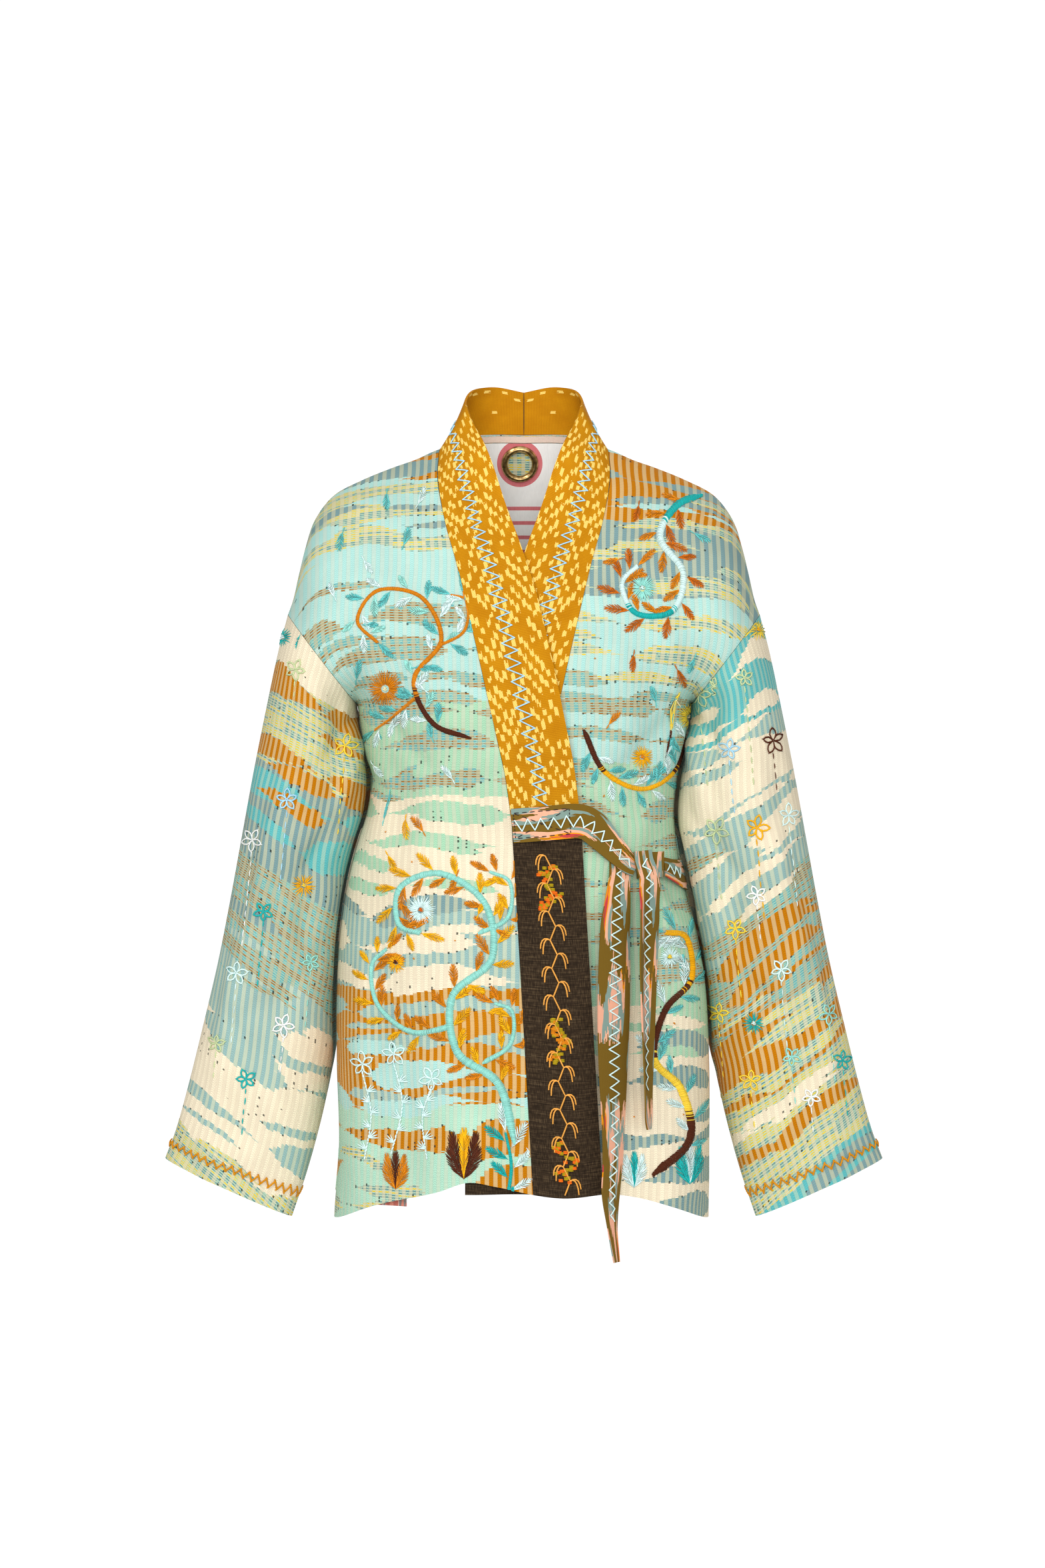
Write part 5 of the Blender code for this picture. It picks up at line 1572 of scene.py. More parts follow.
class Needle:
    """Lays stitches, drawn at x and z in metres, on one piece of cloth."""

    # Spacing of a stem's wraps, where its leaves start, and dash and gap of running stitches
    wrap, first_leaf = 0.0009, 0.12
    dash, gap = 0.0058, 0.0034

    # Petals of a looped flower, and fans beside a chain
    petals, fans = 5, 6

    def __init__(self, threads, surface, seed, behind=False):
        self.threads, self.surface, self.behind = threads, surface, behind
        self.chance = random.Random(seed)

    def stitch(self, path, kind, tint, **more):
        path = np.array(path)
        points, normals = self.surface.seen(path[:, 0], path[:, 1], self.behind)
        self.threads.add(points, normals, SIZE[kind], tint, **more)

    def jitter(self, size):
        return self.chance.uniform(-size, size)

    def satin(self, start, end, kind, tint, arch=0.0006, spread=0.12, dim=1.0):
        """A straight stitch, a little arched."""
        share = np.linspace(0, 1, 4)[:, None]
        path = np.array(start) * (1 - share) + np.array(end) * share
        self.stitch(path, kind, shade(tint, self.chance, spread, dim), arch=arch)

    def leaf(self, place, angle, length, width, tint, count=8, bend=0.0):
        """A leaf of slanting stitches from its bent rib out to its edges."""
        place = np.array(place)

        def rib(share):
            return place + length * share * heading(angle + bend * share / 2)

        for side in (-1, 1):
            for index in range(count):
                share = (index + 0.5) / count
                tip_share = min(0.80 * share + 0.26, 1.0)
                across = aside(heading(angle + bend * tip_share)) * side
                outward = width / 2 * math.sin(math.pi * (0.10 + 0.86 * share)) ** 0.9
                end = rib(tip_share) + across * outward * self.chance.uniform(0.82, 1.15)
                self.satin(rib(0.80 * share) - across * 0.0002, end, "leaf", tint, spread=0.26)
        self.satin(place, rib(1.0), "leaf rib", tint, 0.0010, dim=0.72)

    def wrapped(self, points, radius, tints):
        """A stem bound round with thread, its colours in turn along it."""
        line = curve(points, 120)
        run = run_along(line)

        def read(at):
            return np.array([np.interp(at, run, line[:, axis]) for axis in (0, 1)])

        count = int(run[-1] / self.wrap)
        for index in range(count):
            share = (index + 0.5) / count
            place, ahead, behind = (read(share * run[-1] + step) for step in (0.0, 0.001, -0.001))
            way = ahead - behind
            way /= np.hypot(*way)
            thick = (1.1 - 0.45 * share) * min(1.0, 0.35 + share * 14)
            size = radius * thick * self.chance.uniform(0.9, 1.1)
            steps = np.linspace(-1, 1, 5)[:, None]
            path = place + aside(way) * steps * size + way * steps * 0.0005
            tint = tints[min(int(share * len(tints) + self.jitter(0.12)), len(tints) - 1)]
            self.stitch(path, "wrap", shade(tint, self.chance, 0.10), arch=size * 0.85, taper=0.9)
        return line

    def spray(self, points, radius, stem, leaves, pairs, size):
        """A wrapped stem with leaves to both sides by turns."""
        line = self.wrapped(points, radius, stem)
        for index in range(pairs):
            share = self.first_leaf + (1 - self.first_leaf) * (index + self.jitter(0.2)) / pairs
            step = int(np.clip(share, 0, 0.99) * (len(line) - 2))
            way = line[step + 1] - line[step]
            side = 1 if index % 2 else -1
            turn = math.atan2(way[1], way[0]) + side * self.chance.uniform(0.65, 1.05)
            start = line[step] + 0.0030 * heading(turn)
            scale = self.chance.uniform(0.85, 1.2)
            self.leaf(start, turn, size[0] * scale, size[1] * scale, leaves[index % len(leaves)])
        way = line[-1] - line[-4]
        self.leaf(line[-1], math.atan2(way[1], way[0]), size[0] * 1.15, size[1], leaves[0])

    def rosette(self, place, radius, tint, heart, count):
        """A round flower of stitches that spread from its heart."""
        for ring, reach in enumerate((1.0, 0.72)):
            for index in range(count - 8 * ring):
                turn = (index + self.jitter(0.3)) * 2 * math.pi / (count - 8 * ring)
                way = heading(turn)
                end = place + way * radius * reach * self.chance.uniform(0.86, 1.08)
                start = place + way * radius * 0.22
                self.satin(start, end, "petal", tint, arch=0.0007 + 0.0004 * ring)
        for index in range(7):
            spot = place + heading(index * 2.4) * 0.0016 * math.sqrt(index / 7)
            self.satin(spot - (0.0007, 0), spot + (0.0007, 0.0004), "heart", heart, arch=0.0014)

    def daisy(self, place, size, tint):
        """A flower of thread loops, each held at its tip."""
        place = np.array(place)
        start = self.jitter(0.6)
        for index in range(self.petals):
            way = heading(start + index * 2 * math.pi / self.petals + self.jitter(0.1))
            reach = size * self.chance.uniform(0.88, 1.1)
            around = np.linspace(0.06, 0.94, 10) * 2 * math.pi
            along = (1 - np.cos(around)) / 2
            out = np.sin(around) * 0.27 * np.sin(np.pi * along * 0.80) ** 0.7
            path = place + reach * (along[:, None] * way + out[:, None] * aside(way))
            self.stitch(path, "loop", shade(tint, self.chance, 0.06), arch=0.0005, taper=0.8)
            tip = place + way * reach
            self.satin(tip - way * 0.0008, tip + way * 0.0014, "petal", tint)

    def running(self, start, end, tint):
        """A row of running stitches."""
        start, end = np.array(start), np.array(end)
        length = np.hypot(*(end - start))
        way = (end - start) / length
        at = 0.0
        while at + self.dash < length:
            reach = self.dash * self.chance.uniform(0.8, 1.15)
            side = aside(way) * self.jitter(0.0004)
            low, high = start + way * at + side, start + way * (at + reach) + side
            self.satin(low, high, "running", tint, arch=0.0004)
            at += reach + self.gap * self.chance.uniform(0.8, 1.2)

    def chain(self, points, tint):
        """A thin twisted stem with small fans of stitches beside it."""
        line = curve(points, 26)
        for low, high in zip(line[:-1], line[1:]):
            shift = np.array([self.jitter(0.0004), 0])
            self.satin(low + shift, high - shift, "chain", tint, arch=0.0005)
        for index in range(self.fans):
            spot = line[int((index + 1) * 23 / (self.fans + 1))]
            side = 1 if index % 2 else -1
            for spread in (-0.5, -0.17, 0.17, 0.5):
                turn = math.pi / 2 - side * (1.0 + spread)
                reach = self.chance.uniform(0.0070, 0.0095)
                self.satin(spot, spot + reach * heading(turn), "running", tint)
        return line[-1]

    def cup(self, place, scale, side, middle):
        """Broad bent petals from one root, in two tints."""
        for angle, reach, tint in ((128, 0.7, side), (52, 0.7, side), (112, 0.95, side),
                                   (68, 0.95, side), (90, 1.0, middle)):
            length, bend = CUP_TALL * scale * reach, (90 - angle) * 0.012
            count = int(length / 0.0026)
            self.leaf(place, math.radians(angle), length, CUP_WIDE * scale, tint, count, bend)


def zigzag(threads, surface, start, end, pitch, width, centre, lean, tint):
    """A zigzag stitch between two shares of a strip. lean moves one side's points along it."""
    chance = random.Random(SEED["zigzag"])
    places = []
    count = int(surface.length * (end - start) / (pitch / 2))
    for index, down in enumerate(np.linspace(start, end, count)):
        side = 1 if index % 2 else -1
        reach = side * (width / 2 / surface.width) * chance.uniform(0.9, 1.1)
        places.append((down + (lean / surface.length if side > 0 else 0), centre + reach))
    for low, high in zip(places[:-1], places[1:]):
        points, normals = surface.between(low, high, np.linspace(-0.03, 1.03, 6))
        tinted = shade(tint, chance, 0.05)
        threads.add(points, normals, SIZE["zigzag"], tinted, arch=0.0004, sunk=0.1, taper=0.8)


def build_cloth():
    """The cloth of the body, sleeves, collar and bands, and the faces that stitches are laid on."""
    surfaces = {}
    for name, creases in CREASES.items():
        made = striped_cotton(name)
        if name == "back":
            outer, flip = back_panel(), True
            edges = seam_edges(outer, flip, False, {0: RIGHT, -1: LEFT})
        else:
            side = RIGHT if name == "front_right" else LEFT
            outer, flip = front_panel(side), side == RIGHT
            edges = seam_edges(outer, flip, True, {-1: side})
        flat = grid_uv(outer, SKIRT_ROWS)
        height = fold_height(creases, outer[..., 0], outer[..., 2]) * calm(outer)
        outer = stand_out(outer, flip, height[..., None])
        normals = grid_normals(outer, False, flip)
        for place, directions in edges:
            normals[place] = directions
        surfaces[name] = sew(name, outer, normals, SHOWN_WALL, flat, made)
    for side, word in SIDES:
        name = "sleeve_" + word
        made = striped_cotton(name)
        outer, normals = sleeve_shape(side)
        surfaces[name] = sew(name, outer, normals, SHOWN_WALL, sleeve_uv(outer), made)
    mustard, dark = mustard_ikat(), dark_linen()
    for side, word in SIDES:
        flip = side == RIGHT
        collar = stand_out(collar_strip(side), flip, BAND_PROUD)
        collar[0, :, 0] = side * COLLAR_MEET
        normals = grid_normals(collar, False, flip)
        normals[0] = level_normals(normals, 0)[0]
        name = "collar_" + word
        surfaces[name] = sew(name, collar, normals, SHOWN_BAND, strip_uv(collar), mustard)
        band = stand_out(lower_band(side), flip, BAND_PROUD)
        normals = grid_normals(band, False, flip)
        name = "band_" + word
        surfaces[name] = sew(name, band, normals, SHOWN_BAND, strip_uv(band), dark)
    return surfaces


def calm(grid):
    """1 inside a panel, falling to 0 at its edges, so that creases leave its seams alone."""
    rows = np.linalg.norm(np.diff(grid, axis=0), axis=-1)
    columns = np.linalg.norm(np.diff(grid, axis=1), axis=-1)
    down = np.concatenate([np.zeros((1, grid.shape[1])), np.cumsum(rows, axis=0)], axis=0)
    across = np.concatenate([np.zeros((len(grid), 1)), np.cumsum(columns, axis=1)], axis=1)
    near = np.minimum(np.minimum(down[-1] - down, across), across[:, -1:] - across)
    return ramp(near, 0.0, CREASE_EDGE)


def sleeve_shape(side):
    """Outer face of a sleeve with its smaller creases, closed by repeating its first column."""
    outer = sleeve_tube(side)
    flip = side == LEFT
    normals = grid_normals(outer, True, flip)
    rows = np.linspace(0, len(SLEEVE["depth"]) - 1, SLEEVE_ROWS)
    turns = np.arange(outer.shape[1]) / outer.shape[1]
    height = np.zeros(outer.shape[:2])
    for row0, turn0, row1, turn1, wide, high in zip(*CREASES_SLEEVE.values()):
        share = np.clip((rows - row0) / (row1 - row0), 0, 1)[:, None]
        past = np.maximum(np.maximum(row0 - rows, rows - row1), 0)[:, None] * SLEEVE_SPACING
        apart = (turns[None] - (turn0 + (turn1 - turn0) * share) + 0.5) % 1 - 0.5
        height += high * np.exp(-((apart * SLEEVE_GIRTH / wide) ** 2) - (past / (FOLD_FADE * wide)) ** 2)
    height *= ramp(rows, 0, 0.6)[:, None] * ramp(rows[-1] - rows, 0, 0.4)[:, None]
    outer = outer + normals * height[..., None]
    normals = grid_normals(outer, True, flip)
    front, back = armhole_normals(True, YOKE_ROWS + 1), armhole_normals(False, YOKE_ROWS + 1)
    normals[0] = np.concatenate([front, back[-2:0:-1]]) * (side, 1, 1)
    return tuple(np.concatenate([part, part[:, :1]], axis=1) for part in (outer, normals))


# How far the sleeves' stripes fall towards the outer side, at the top and lower down
SLEEVE_SLANT = (0.40, -0.42)
SLANT_SHARE = 0.5


def sleeve_uv(outer):
    """Flat places of a sleeve's points: round from the middle of its front, and down its length."""
    step = np.linalg.norm(np.diff(outer, axis=1), axis=-1)
    round_it = np.concatenate([np.zeros((len(outer), 1)), np.cumsum(step, axis=1)], axis=1)
    u = round_it - round_it[:, outer.shape[1] // 4][:, None]
    middle = outer.mean(axis=1)
    down = np.concatenate([[0], np.cumsum(np.linalg.norm(np.diff(middle, axis=0), axis=1))])
    outward = np.abs(outer[..., 0]) - np.abs(middle[:, None, 0])
    slant = np.interp(down / down[-1], (0, SLANT_SHARE), SLEEVE_SLANT)[:, None]
    return np.stack([u, slant * outward - down[:, None]], -1)


# The collars' ends stand this far from the middle of the back neck
COLLAR_MEET = 0.00004

# How each sheet is held, and what it rests on
HELD = {
    "front_right": ("hung", ["back"]),
    "front_left": ("hung", ["back"]),
    "back": ("hung", ["collar_right", "collar_left"]),
    "sleeve_right": ("hung", ["back", "front_right"]),
    "sleeve_left": ("hung", ["back", "front_left"]),
    "collar_right": ("laid", ["front_right", "back"]),
    "collar_left": ("laid", ["front_left", "back"]),
    "band_right": ("hung", ["front_right"]),
    "band_left": ("hung", ["front_left"]),
    "tie_front": ("laid", ["band_right_cloth"]),
    "tie_front_tail": ("hung", ["front_left_cloth"]),
    "tie_side_tail": ("hung", ["tie_knot_cloth"]),
    "tie_side": ("laid", ["front_left_cloth"]),
    "inner_tie": ("hung", ["front_right_cloth"]),
    "neck_tape": ("laid", ["back_cloth"]),
}

# No cut is taken as narrower than this
SMALLEST_CUT = 0.010


def sew(name, outer, normals, wall, flat, made):
    """A node's cloth; where it is a sheet, the box and area of its cut are worked out, but nothing keeps
    them. Gives its face.
    """
    piece = shell(name, outer, normals, wall, flat, made)
    if name in HELD:
        wide = float(np.linalg.norm(np.diff(outer, axis=1), axis=-1).sum(axis=1).max())
        tall = float(np.linalg.norm(np.diff(outer, axis=0), axis=-1).sum(axis=0).max())
        wide, tall = max(round(wide, 3), SMALLEST_CUT), max(round(tall, 3), SMALLEST_CUT)
        area = round(min(flat_area(outer), wide * tall), 4)
    return Surface(outer, normals)


# Flames of the ties' ikat, by where each colour starts
OLIVE_FLAMES = [
    (0.0, srgb(236, 172, 142)),
    (0.42, srgb(132, 156, 146)),
    (0.53, srgb(238, 180, 148)),
    (0.66, srgb(238, 150, 20)),
    (0.71, srgb(200, 66, 66)),
]
PINK_FLAMES = [(0.0, srgb(240, 196, 184)), (0.50, srgb(150, 140, 136)), (0.60, srgb(236, 150, 130))]


def build_ties():
    """The ties and their knot, and the faces that their stitches are laid on."""
    olive = tie_ikat("olive_ikat_cloth", 3.0, srgb(120, 92, 28), OLIVE_FLAMES)
    pink = tie_ikat("pink_ikat_cloth", 8.0, srgb(214, 118, 104), PINK_FLAMES)
    grids = {
        "tie_front": tie_strip(TIE_FRONT),
        "tie_front_tail": tie_strip(TIE_FRONT_TAIL),
        "tie_side_tail": tie_strip(TIE_SIDE_TAIL),
        "tie_side": side_tie_strip(),
        "inner_tie": tie_strip(INNER_TIE),
        "tie_knot": knot_block(),
    }
    surfaces = {}
    for name, grid in grids.items():
        normals = grid_normals(grid, False, name == "tie_side")
        wall = KNOT_DEPTH if name == "tie_knot" else SHOWN_TIE
        made = pink if name == "inner_tie" else olive
        surfaces[name] = sew(name, grid, normals, wall, strip_uv(grid), made)
    return surfaces


def build_neck():
    """The tape, the white panel and the brass ring inside the back neck."""
    shares = np.linspace(TAPE_TOP_SHARE, TAPE_SHARE, 7)
    tape = inside_strip(back_panel(), shares * (YOKE_ROWS / COARSE_YOKE_ROWS))
    normals = grid_normals(tape, False, True)
    sew("neck_tape", tape, normals, PANEL_WALL, strip_uv(tape), tape_cotton())
    for node, made in (("eyelet", antique_brass()), ("neck_panel", white_cotton())):
        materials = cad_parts[node].data.materials
        materials.clear()
        materials.append(made)


# Looped flowers of the sleeves and the length of their stitched stems, in millimetres
SLEEVE_DAISIES = {
    "sleeve_right": entries("""
    x z size tint stem
    -201.6 -208.8 8.1 sage 36
    -159.0 -275.4 9.0 gold 72
    -209.4 -323.4 8.5 sky 72
    -241.0 -359.4 8.5 white 90
    -230.4 -422.4 7.1 teal 66
    -255.0 -477.0 8.5 pale 60
    -213.6 -523.8 9.0 white 36
    -247.2 -571.8 7.6 teal 48
    -273.6 -540.0 6.6 sage 30
    -189.6 -468.0 6.6 mint 54
"""),
    "sleeve_left": entries("""
    x z size tint stem
    156.0 -230.4 9.5 sage 72
    194.4 -216.0 6.6 sage 90
    220.8 -271.2 9.5 brown 42
    181.2 -279.0 8.1 sky 54
    205.8 -348.0 9.0 mustard 78
    170.4 -351.0 9.5 sage 54
    235.0 -337.2 8.5 pale 72
    187.8 -438.0 8.5 gold 60
    228.0 -474.0 8.5 pale 72
    174.0 -514.2 7.6 gold 54
    238.0 -552.0 7.6 mint 42
    271.2 -514.2 8.1 mint 54
    202.2 -573.0 8.1 gold 36
    255.6 -588.0 7.6 white 30
    284.0 -556.0 7.6 teal 42
    206.4 -408.0 7.1 white 36
"""),
}

# Round flowers of the sleeves, in metres
SLEEVE_ROSETTES = {
    "sleeve_right": entries("""
    x z radius tint heart
    -0.1956 -0.3996 0.0108 mustard gold
    -0.2150 -0.1790 0.0085 teal pale
"""),
    "sleeve_left": entries("""
    x z radius tint heart
    0.2080 -0.1728 0.0095 gold mustard
    0.2040 -0.5220 0.0095 teal pale
"""),
}


def metres(text):
    """Places in metres, from a text of x and z in millimetres."""
    return np.array(text.split(), dtype=float).reshape(-1, 2) / 1000


# Zigzags of the ties: start and end in shares of the length
TIE_ZIGZAGS = {
    "tie_front": (0.02, 0.96),
    "tie_front_tail": (0.04, 0.90),
    "tie_side_tail": (0.03, 0.86),
    "tie_side": (0.45, 0.97),
}

# Where the collar's zigzag starts and ends in shares of its length. Zigzags of the collar and the
# ties: pitch, width, middle in shares of the strip's width, and lean
COLLAR_STITCHED = (0.165, 0.985)
COLLAR_ZIGZAG = (0.0114, 0.0104, 0.46, 0.0030)
TIE_ZIGZAG = (0.0108, 0.0084, 0.5, 0.0)


def build_stitches(surfaces):
    """The zigzag stitches of the collar and ties, the band's vine and the cuffs' herringbone."""
    threads = Threads()
    for _, word in SIDES:
        surface = surfaces["collar_" + word]
        zigzag(threads, surface, *COLLAR_STITCHED, *COLLAR_ZIGZAG, "sky")
        face, out = surface.grid[0], surface.normals[0]
        inner = face - out * (SHOWN_BAND + 0.0001)
        for edge, way in ((inner, -out), (face, out)):
            threads.add(edge[::2], way[::2], SIZE["edge"], TINT["dark"], sunk=0.3)
    threads.build("collar_stitches")

    threads = Threads()
    for name, (start, end) in TIE_ZIGZAGS.items():
        zigzag(threads, surfaces[name], start, end, *TIE_ZIGZAG, "pale")
    tack_patch(threads, surfaces["tie_front"])
    threads.build("tie_stitches")

    threads = Threads(4)
    vine(threads, surfaces["band_right"])
    threads.build("band_vine")

    threads = Threads()
    for _, word in SIDES:
        herringbone(threads, surfaces["sleeve_" + word])
    threads.build("cuff_stitches")


# The tie's sewn end: edges of its square of dark stitches, in shares of the tie's length and width
PATCH_LOW, PATCH_HIGH, PATCH_SIDE = 0.015, 0.40, 0.13
PATCH_DASHES = 7


def tack_patch(threads, surface):
    """Dark dashes round the tie's sewn end and across it both ways."""
    low, high, near, far = PATCH_LOW, PATCH_HIGH, PATCH_SIDE, 1 - PATCH_SIDE
    corners = [(low, near), (high, near), (high, far), (low, far), (low, near)]
    diagonals = [(corners[0], corners[2]), (corners[1], corners[3])]
    for start, end in [*zip(corners[:-1], corners[1:]), *diagonals]:
        for index in range(PATCH_DASHES):
            share = (index + np.linspace(0.1, 0.68, 4)) / PATCH_DASHES
            points, normals = surface.between(start, end, share)
            threads.add(points, normals, SIZE["tack"], TINT["dark"], sunk=0.1, taper=0.8)


# The band's vine: pitch of its nodes, where it starts and ends, and reach and fall of its arms
VINE_PITCH, VINE_START, VINE_END = 0.0123, 0.085, 0.985
VINE_ARMS = ((0.0092, 0.0078), (0.0072, 0.0125))

# Clusters of small stitches on it: middle, number of stitches, and tints
VINE_CLUSTERS = (
    (0.17, 60, ("orange", "lime")),
    (0.58, 50, ("lime", "ochre")),
    (0.90, 36, ("lime", "orange")),
)


def vine(threads, surface):
    """The band's feather stitch: a bent stem with hooked arms to both sides by turns."""
    chance = random.Random(SEED["vine"])
    length, width = surface.length, surface.width

    def lay(path, kind="vine", tint="apricot", arch=0.0005):
        path = np.array(path)
        points, normals = surface.at(path[:, 0] / length, 0.5 + path[:, 1] / width)
        tinted = shade(tint, chance, 0.08)
        threads.add(points, normals, SIZE[kind], tinted, arch=arch, sunk=0.2, taper=0.8)

    node = VINE_PITCH / length
    down, side = VINE_START, -1
    while down < VINE_END:
        here, there = down * length, (down + node) * length
        steps = np.linspace(0, 1, 5)
        lay([(here + (there - here) * s, side * 0.0027 * (1 - 2 * s)) for s in steps])
        for out, fall in VINE_ARMS:
            arm = []
            for s in np.linspace(0, 1, 6):
                bulge = 0.0030 * math.sin(math.pi * s)
                reach = side * (0.0024 + out * math.sin(1.50 * s))
                arm.append((here + fall * s**1.6 - bulge, reach))
            lay(arm)
        down, side = down + node, -side
    for middle, count, tints in VINE_CLUSTERS:
        for number in range(count):
            spot = (middle + chance.uniform(-0.060, 0.060)) * length
            apart = 0.0046 * math.sin(spot * 240.0) + chance.uniform(-0.0058, 0.0058)
            tint = tints[int(number * 0.37) % 2]
            for shift in (-0.0009, 0.0, 0.0009):
                lay([(spot + shift, apart + s * 0.0036) for s in (-0.5, 0, 0.5)], "cluster", tint, 0.0007)


# The cuffs' herringbone: pitch of its stitches, height over the edge, and half its width
HERRING_PITCH, HERRING_UP, HERRING_REACH = 0.0040, 0.0145, 0.0023


def herringbone(threads, surface):
    """Crossed stitches round the cuff, a little above its edge."""
    chance = random.Random(SEED["herringbone"])
    round_it = run_along(surface.grid[-2])
    columns = np.linspace(0, 1, len(round_it))
    count = int(round_it[-1] / HERRING_PITCH)
    for index in range(count):
        side = 1 if index % 2 else -1
        share = np.linspace(-0.15, 1.15, 6)
        across = np.interp((index + share) / count % 1.0 * round_it[-1], round_it, columns)
        slope = side * HERRING_REACH * (2 * share - 1)
        down = 1 - (HERRING_UP - slope + chance.uniform(-0.0004, 0.0004)) / surface.length
        if np.abs(np.diff(across)).max() > 0.5:
            continue
        points, normals = surface.at(down, across)
        tinted = shade("hem", chance, 0.10)
        threads.add(points, normals, SIZE["herringbone"], tinted, arch=0.0008, sunk=0.1, taper=0.8)


# Flowers on the sleeves' backs stand this much lower than those on their fronts
DAISY_DROP, ROSETTE_DROP = 0.021, 0.03
DAISY_SCALE = 1.12


def build_sleeve_flowers(surfaces):
    """Looped and round flowers on both sides of the sleeves, with running stitches below."""
    for number, word in enumerate(SLEEVE_DAISIES):
        threads = Threads(4)
        front = Needle(threads, surfaces[word], SEED["sleeve fronts"] + number)
        behind = Needle(threads, surfaces[word], SEED["sleeve backs"] + number, behind=True)
        for x, z, size, tint, stem in SLEEVE_DAISIES[word]:
            x, z, size, stem = x / 1000, z / 1000, size * DAISY_SCALE / 1000, stem / 1000
            lean = math.copysign(0.10, x)
            for needle, drop in ((front, 0.0), (behind, DAISY_DROP)):
                place = np.array([x, z - drop])
                needle.daisy(place, size, tint)
                start = place - (0, size)
                needle.running(start, start - (-lean * stem, stem), tint)
        for x, z, radius, tint, heart in SLEEVE_ROSETTES[word]:
            for needle, drop in ((front, 0.0), (behind, ROSETTE_DROP)):
                needle.rosette(np.array([x, z - drop]), radius, tint, heart, 18)
        threads.build(word + "_flowers")


# Single leaves on the fronts and the back: x and z in millimetres, and the way they point in degrees
LOOSE_LEAVES = {
    "front_right": "-122 -50 262 -94 -62 58 -160 -86 252 -141 -112 300 -106 -100 66 -166 -146 116 "
    "-96 -208 8 -86 -228 140 -148 -218 80 -118 -262 52 -80 -270 112 -134 -292 300 -146 -336 80 -62 -306 118",
    "front_left": "102 -62 262 146 -58 184 150 -88 330 96 -196 262 84 -112 200 150 -198 250 134 -208 300 "
    "74 -258 60 116 -238 96",
    "back": "-30 -96 262 36 -132 58 96 -74 250 124 -190 118 -136 -360 80 -20 -400 112 -96 -440 300 "
    "20 -240 52 130 -470 80 -30 -470 64",
}

# The same in the gold tints, on the right front
LOOSE_GOLD = "-104 -340 262 -88 -352 118 -120 -372 300 -58 -388 250 -40 -424 70"

# Small knots of ochre thread: x and z in millimetres
SPECKS = (
    "-122 -352 -98 -378 -74 -366 -52 -402 -110 -408 -84 -430 -60 -446 -128 -446 -96 -462 -44 -476 -70 -500 "
    "-118 -516 62 -200 96 -150 118 -176 70 -320 128 -420 104 -456 132 -520 96 -600 -148 -196 -108 -300 "
    "60 -560 140 -600"
)


# Stalk of a single leaf: length below and above the leaf's root. Stitches of such a leaf, and its
# greatest bend. Greatest reach of a speck from its middle
STALK = (0.0042, 0.0010)
LEAF_STITCHES, LEAF_BEND = 7, 0.5
SPECK_REACH = 0.0011


def scatter(needle, text, tints):
    """Single leaves on short stalks, from a text of x, z and angle."""
    for index, (x, z, angle) in enumerate(np.array(text.split(), dtype=float).reshape(-1, 3)):
        way = heading(math.radians(angle))
        place = np.array([x, z]) / 1000
        tint = tints[index % len(tints)]
        needle.satin(place - way * STALK[0], place + way * STALK[1], "stalk", tint)
        scale = needle.chance.uniform(0.88, 1.15)
        length, width = LEAF_SMALL[0] * scale, LEAF_SMALL[1] * scale
        bend = needle.jitter(LEAF_BEND)
        needle.leaf(place, math.radians(angle), length, width, tint, LEAF_STITCHES, bend)


def specks(needle, places, tint):
    """Small knots of thread."""
    for place in places:
        way = np.array([needle.jitter(SPECK_REACH), needle.jitter(SPECK_REACH)])
        needle.satin(place - way, place + way, "speck", tint)


# Length and width of the leaves, and of the cups' petals
LEAF_SMALL, LEAF_LARGE, LEAF_BROAD = (0.0165, 0.0066), (0.0190, 0.0072), (0.0230, 0.0086)
CUP_TALL, CUP_WIDE = 0.036, 0.0090

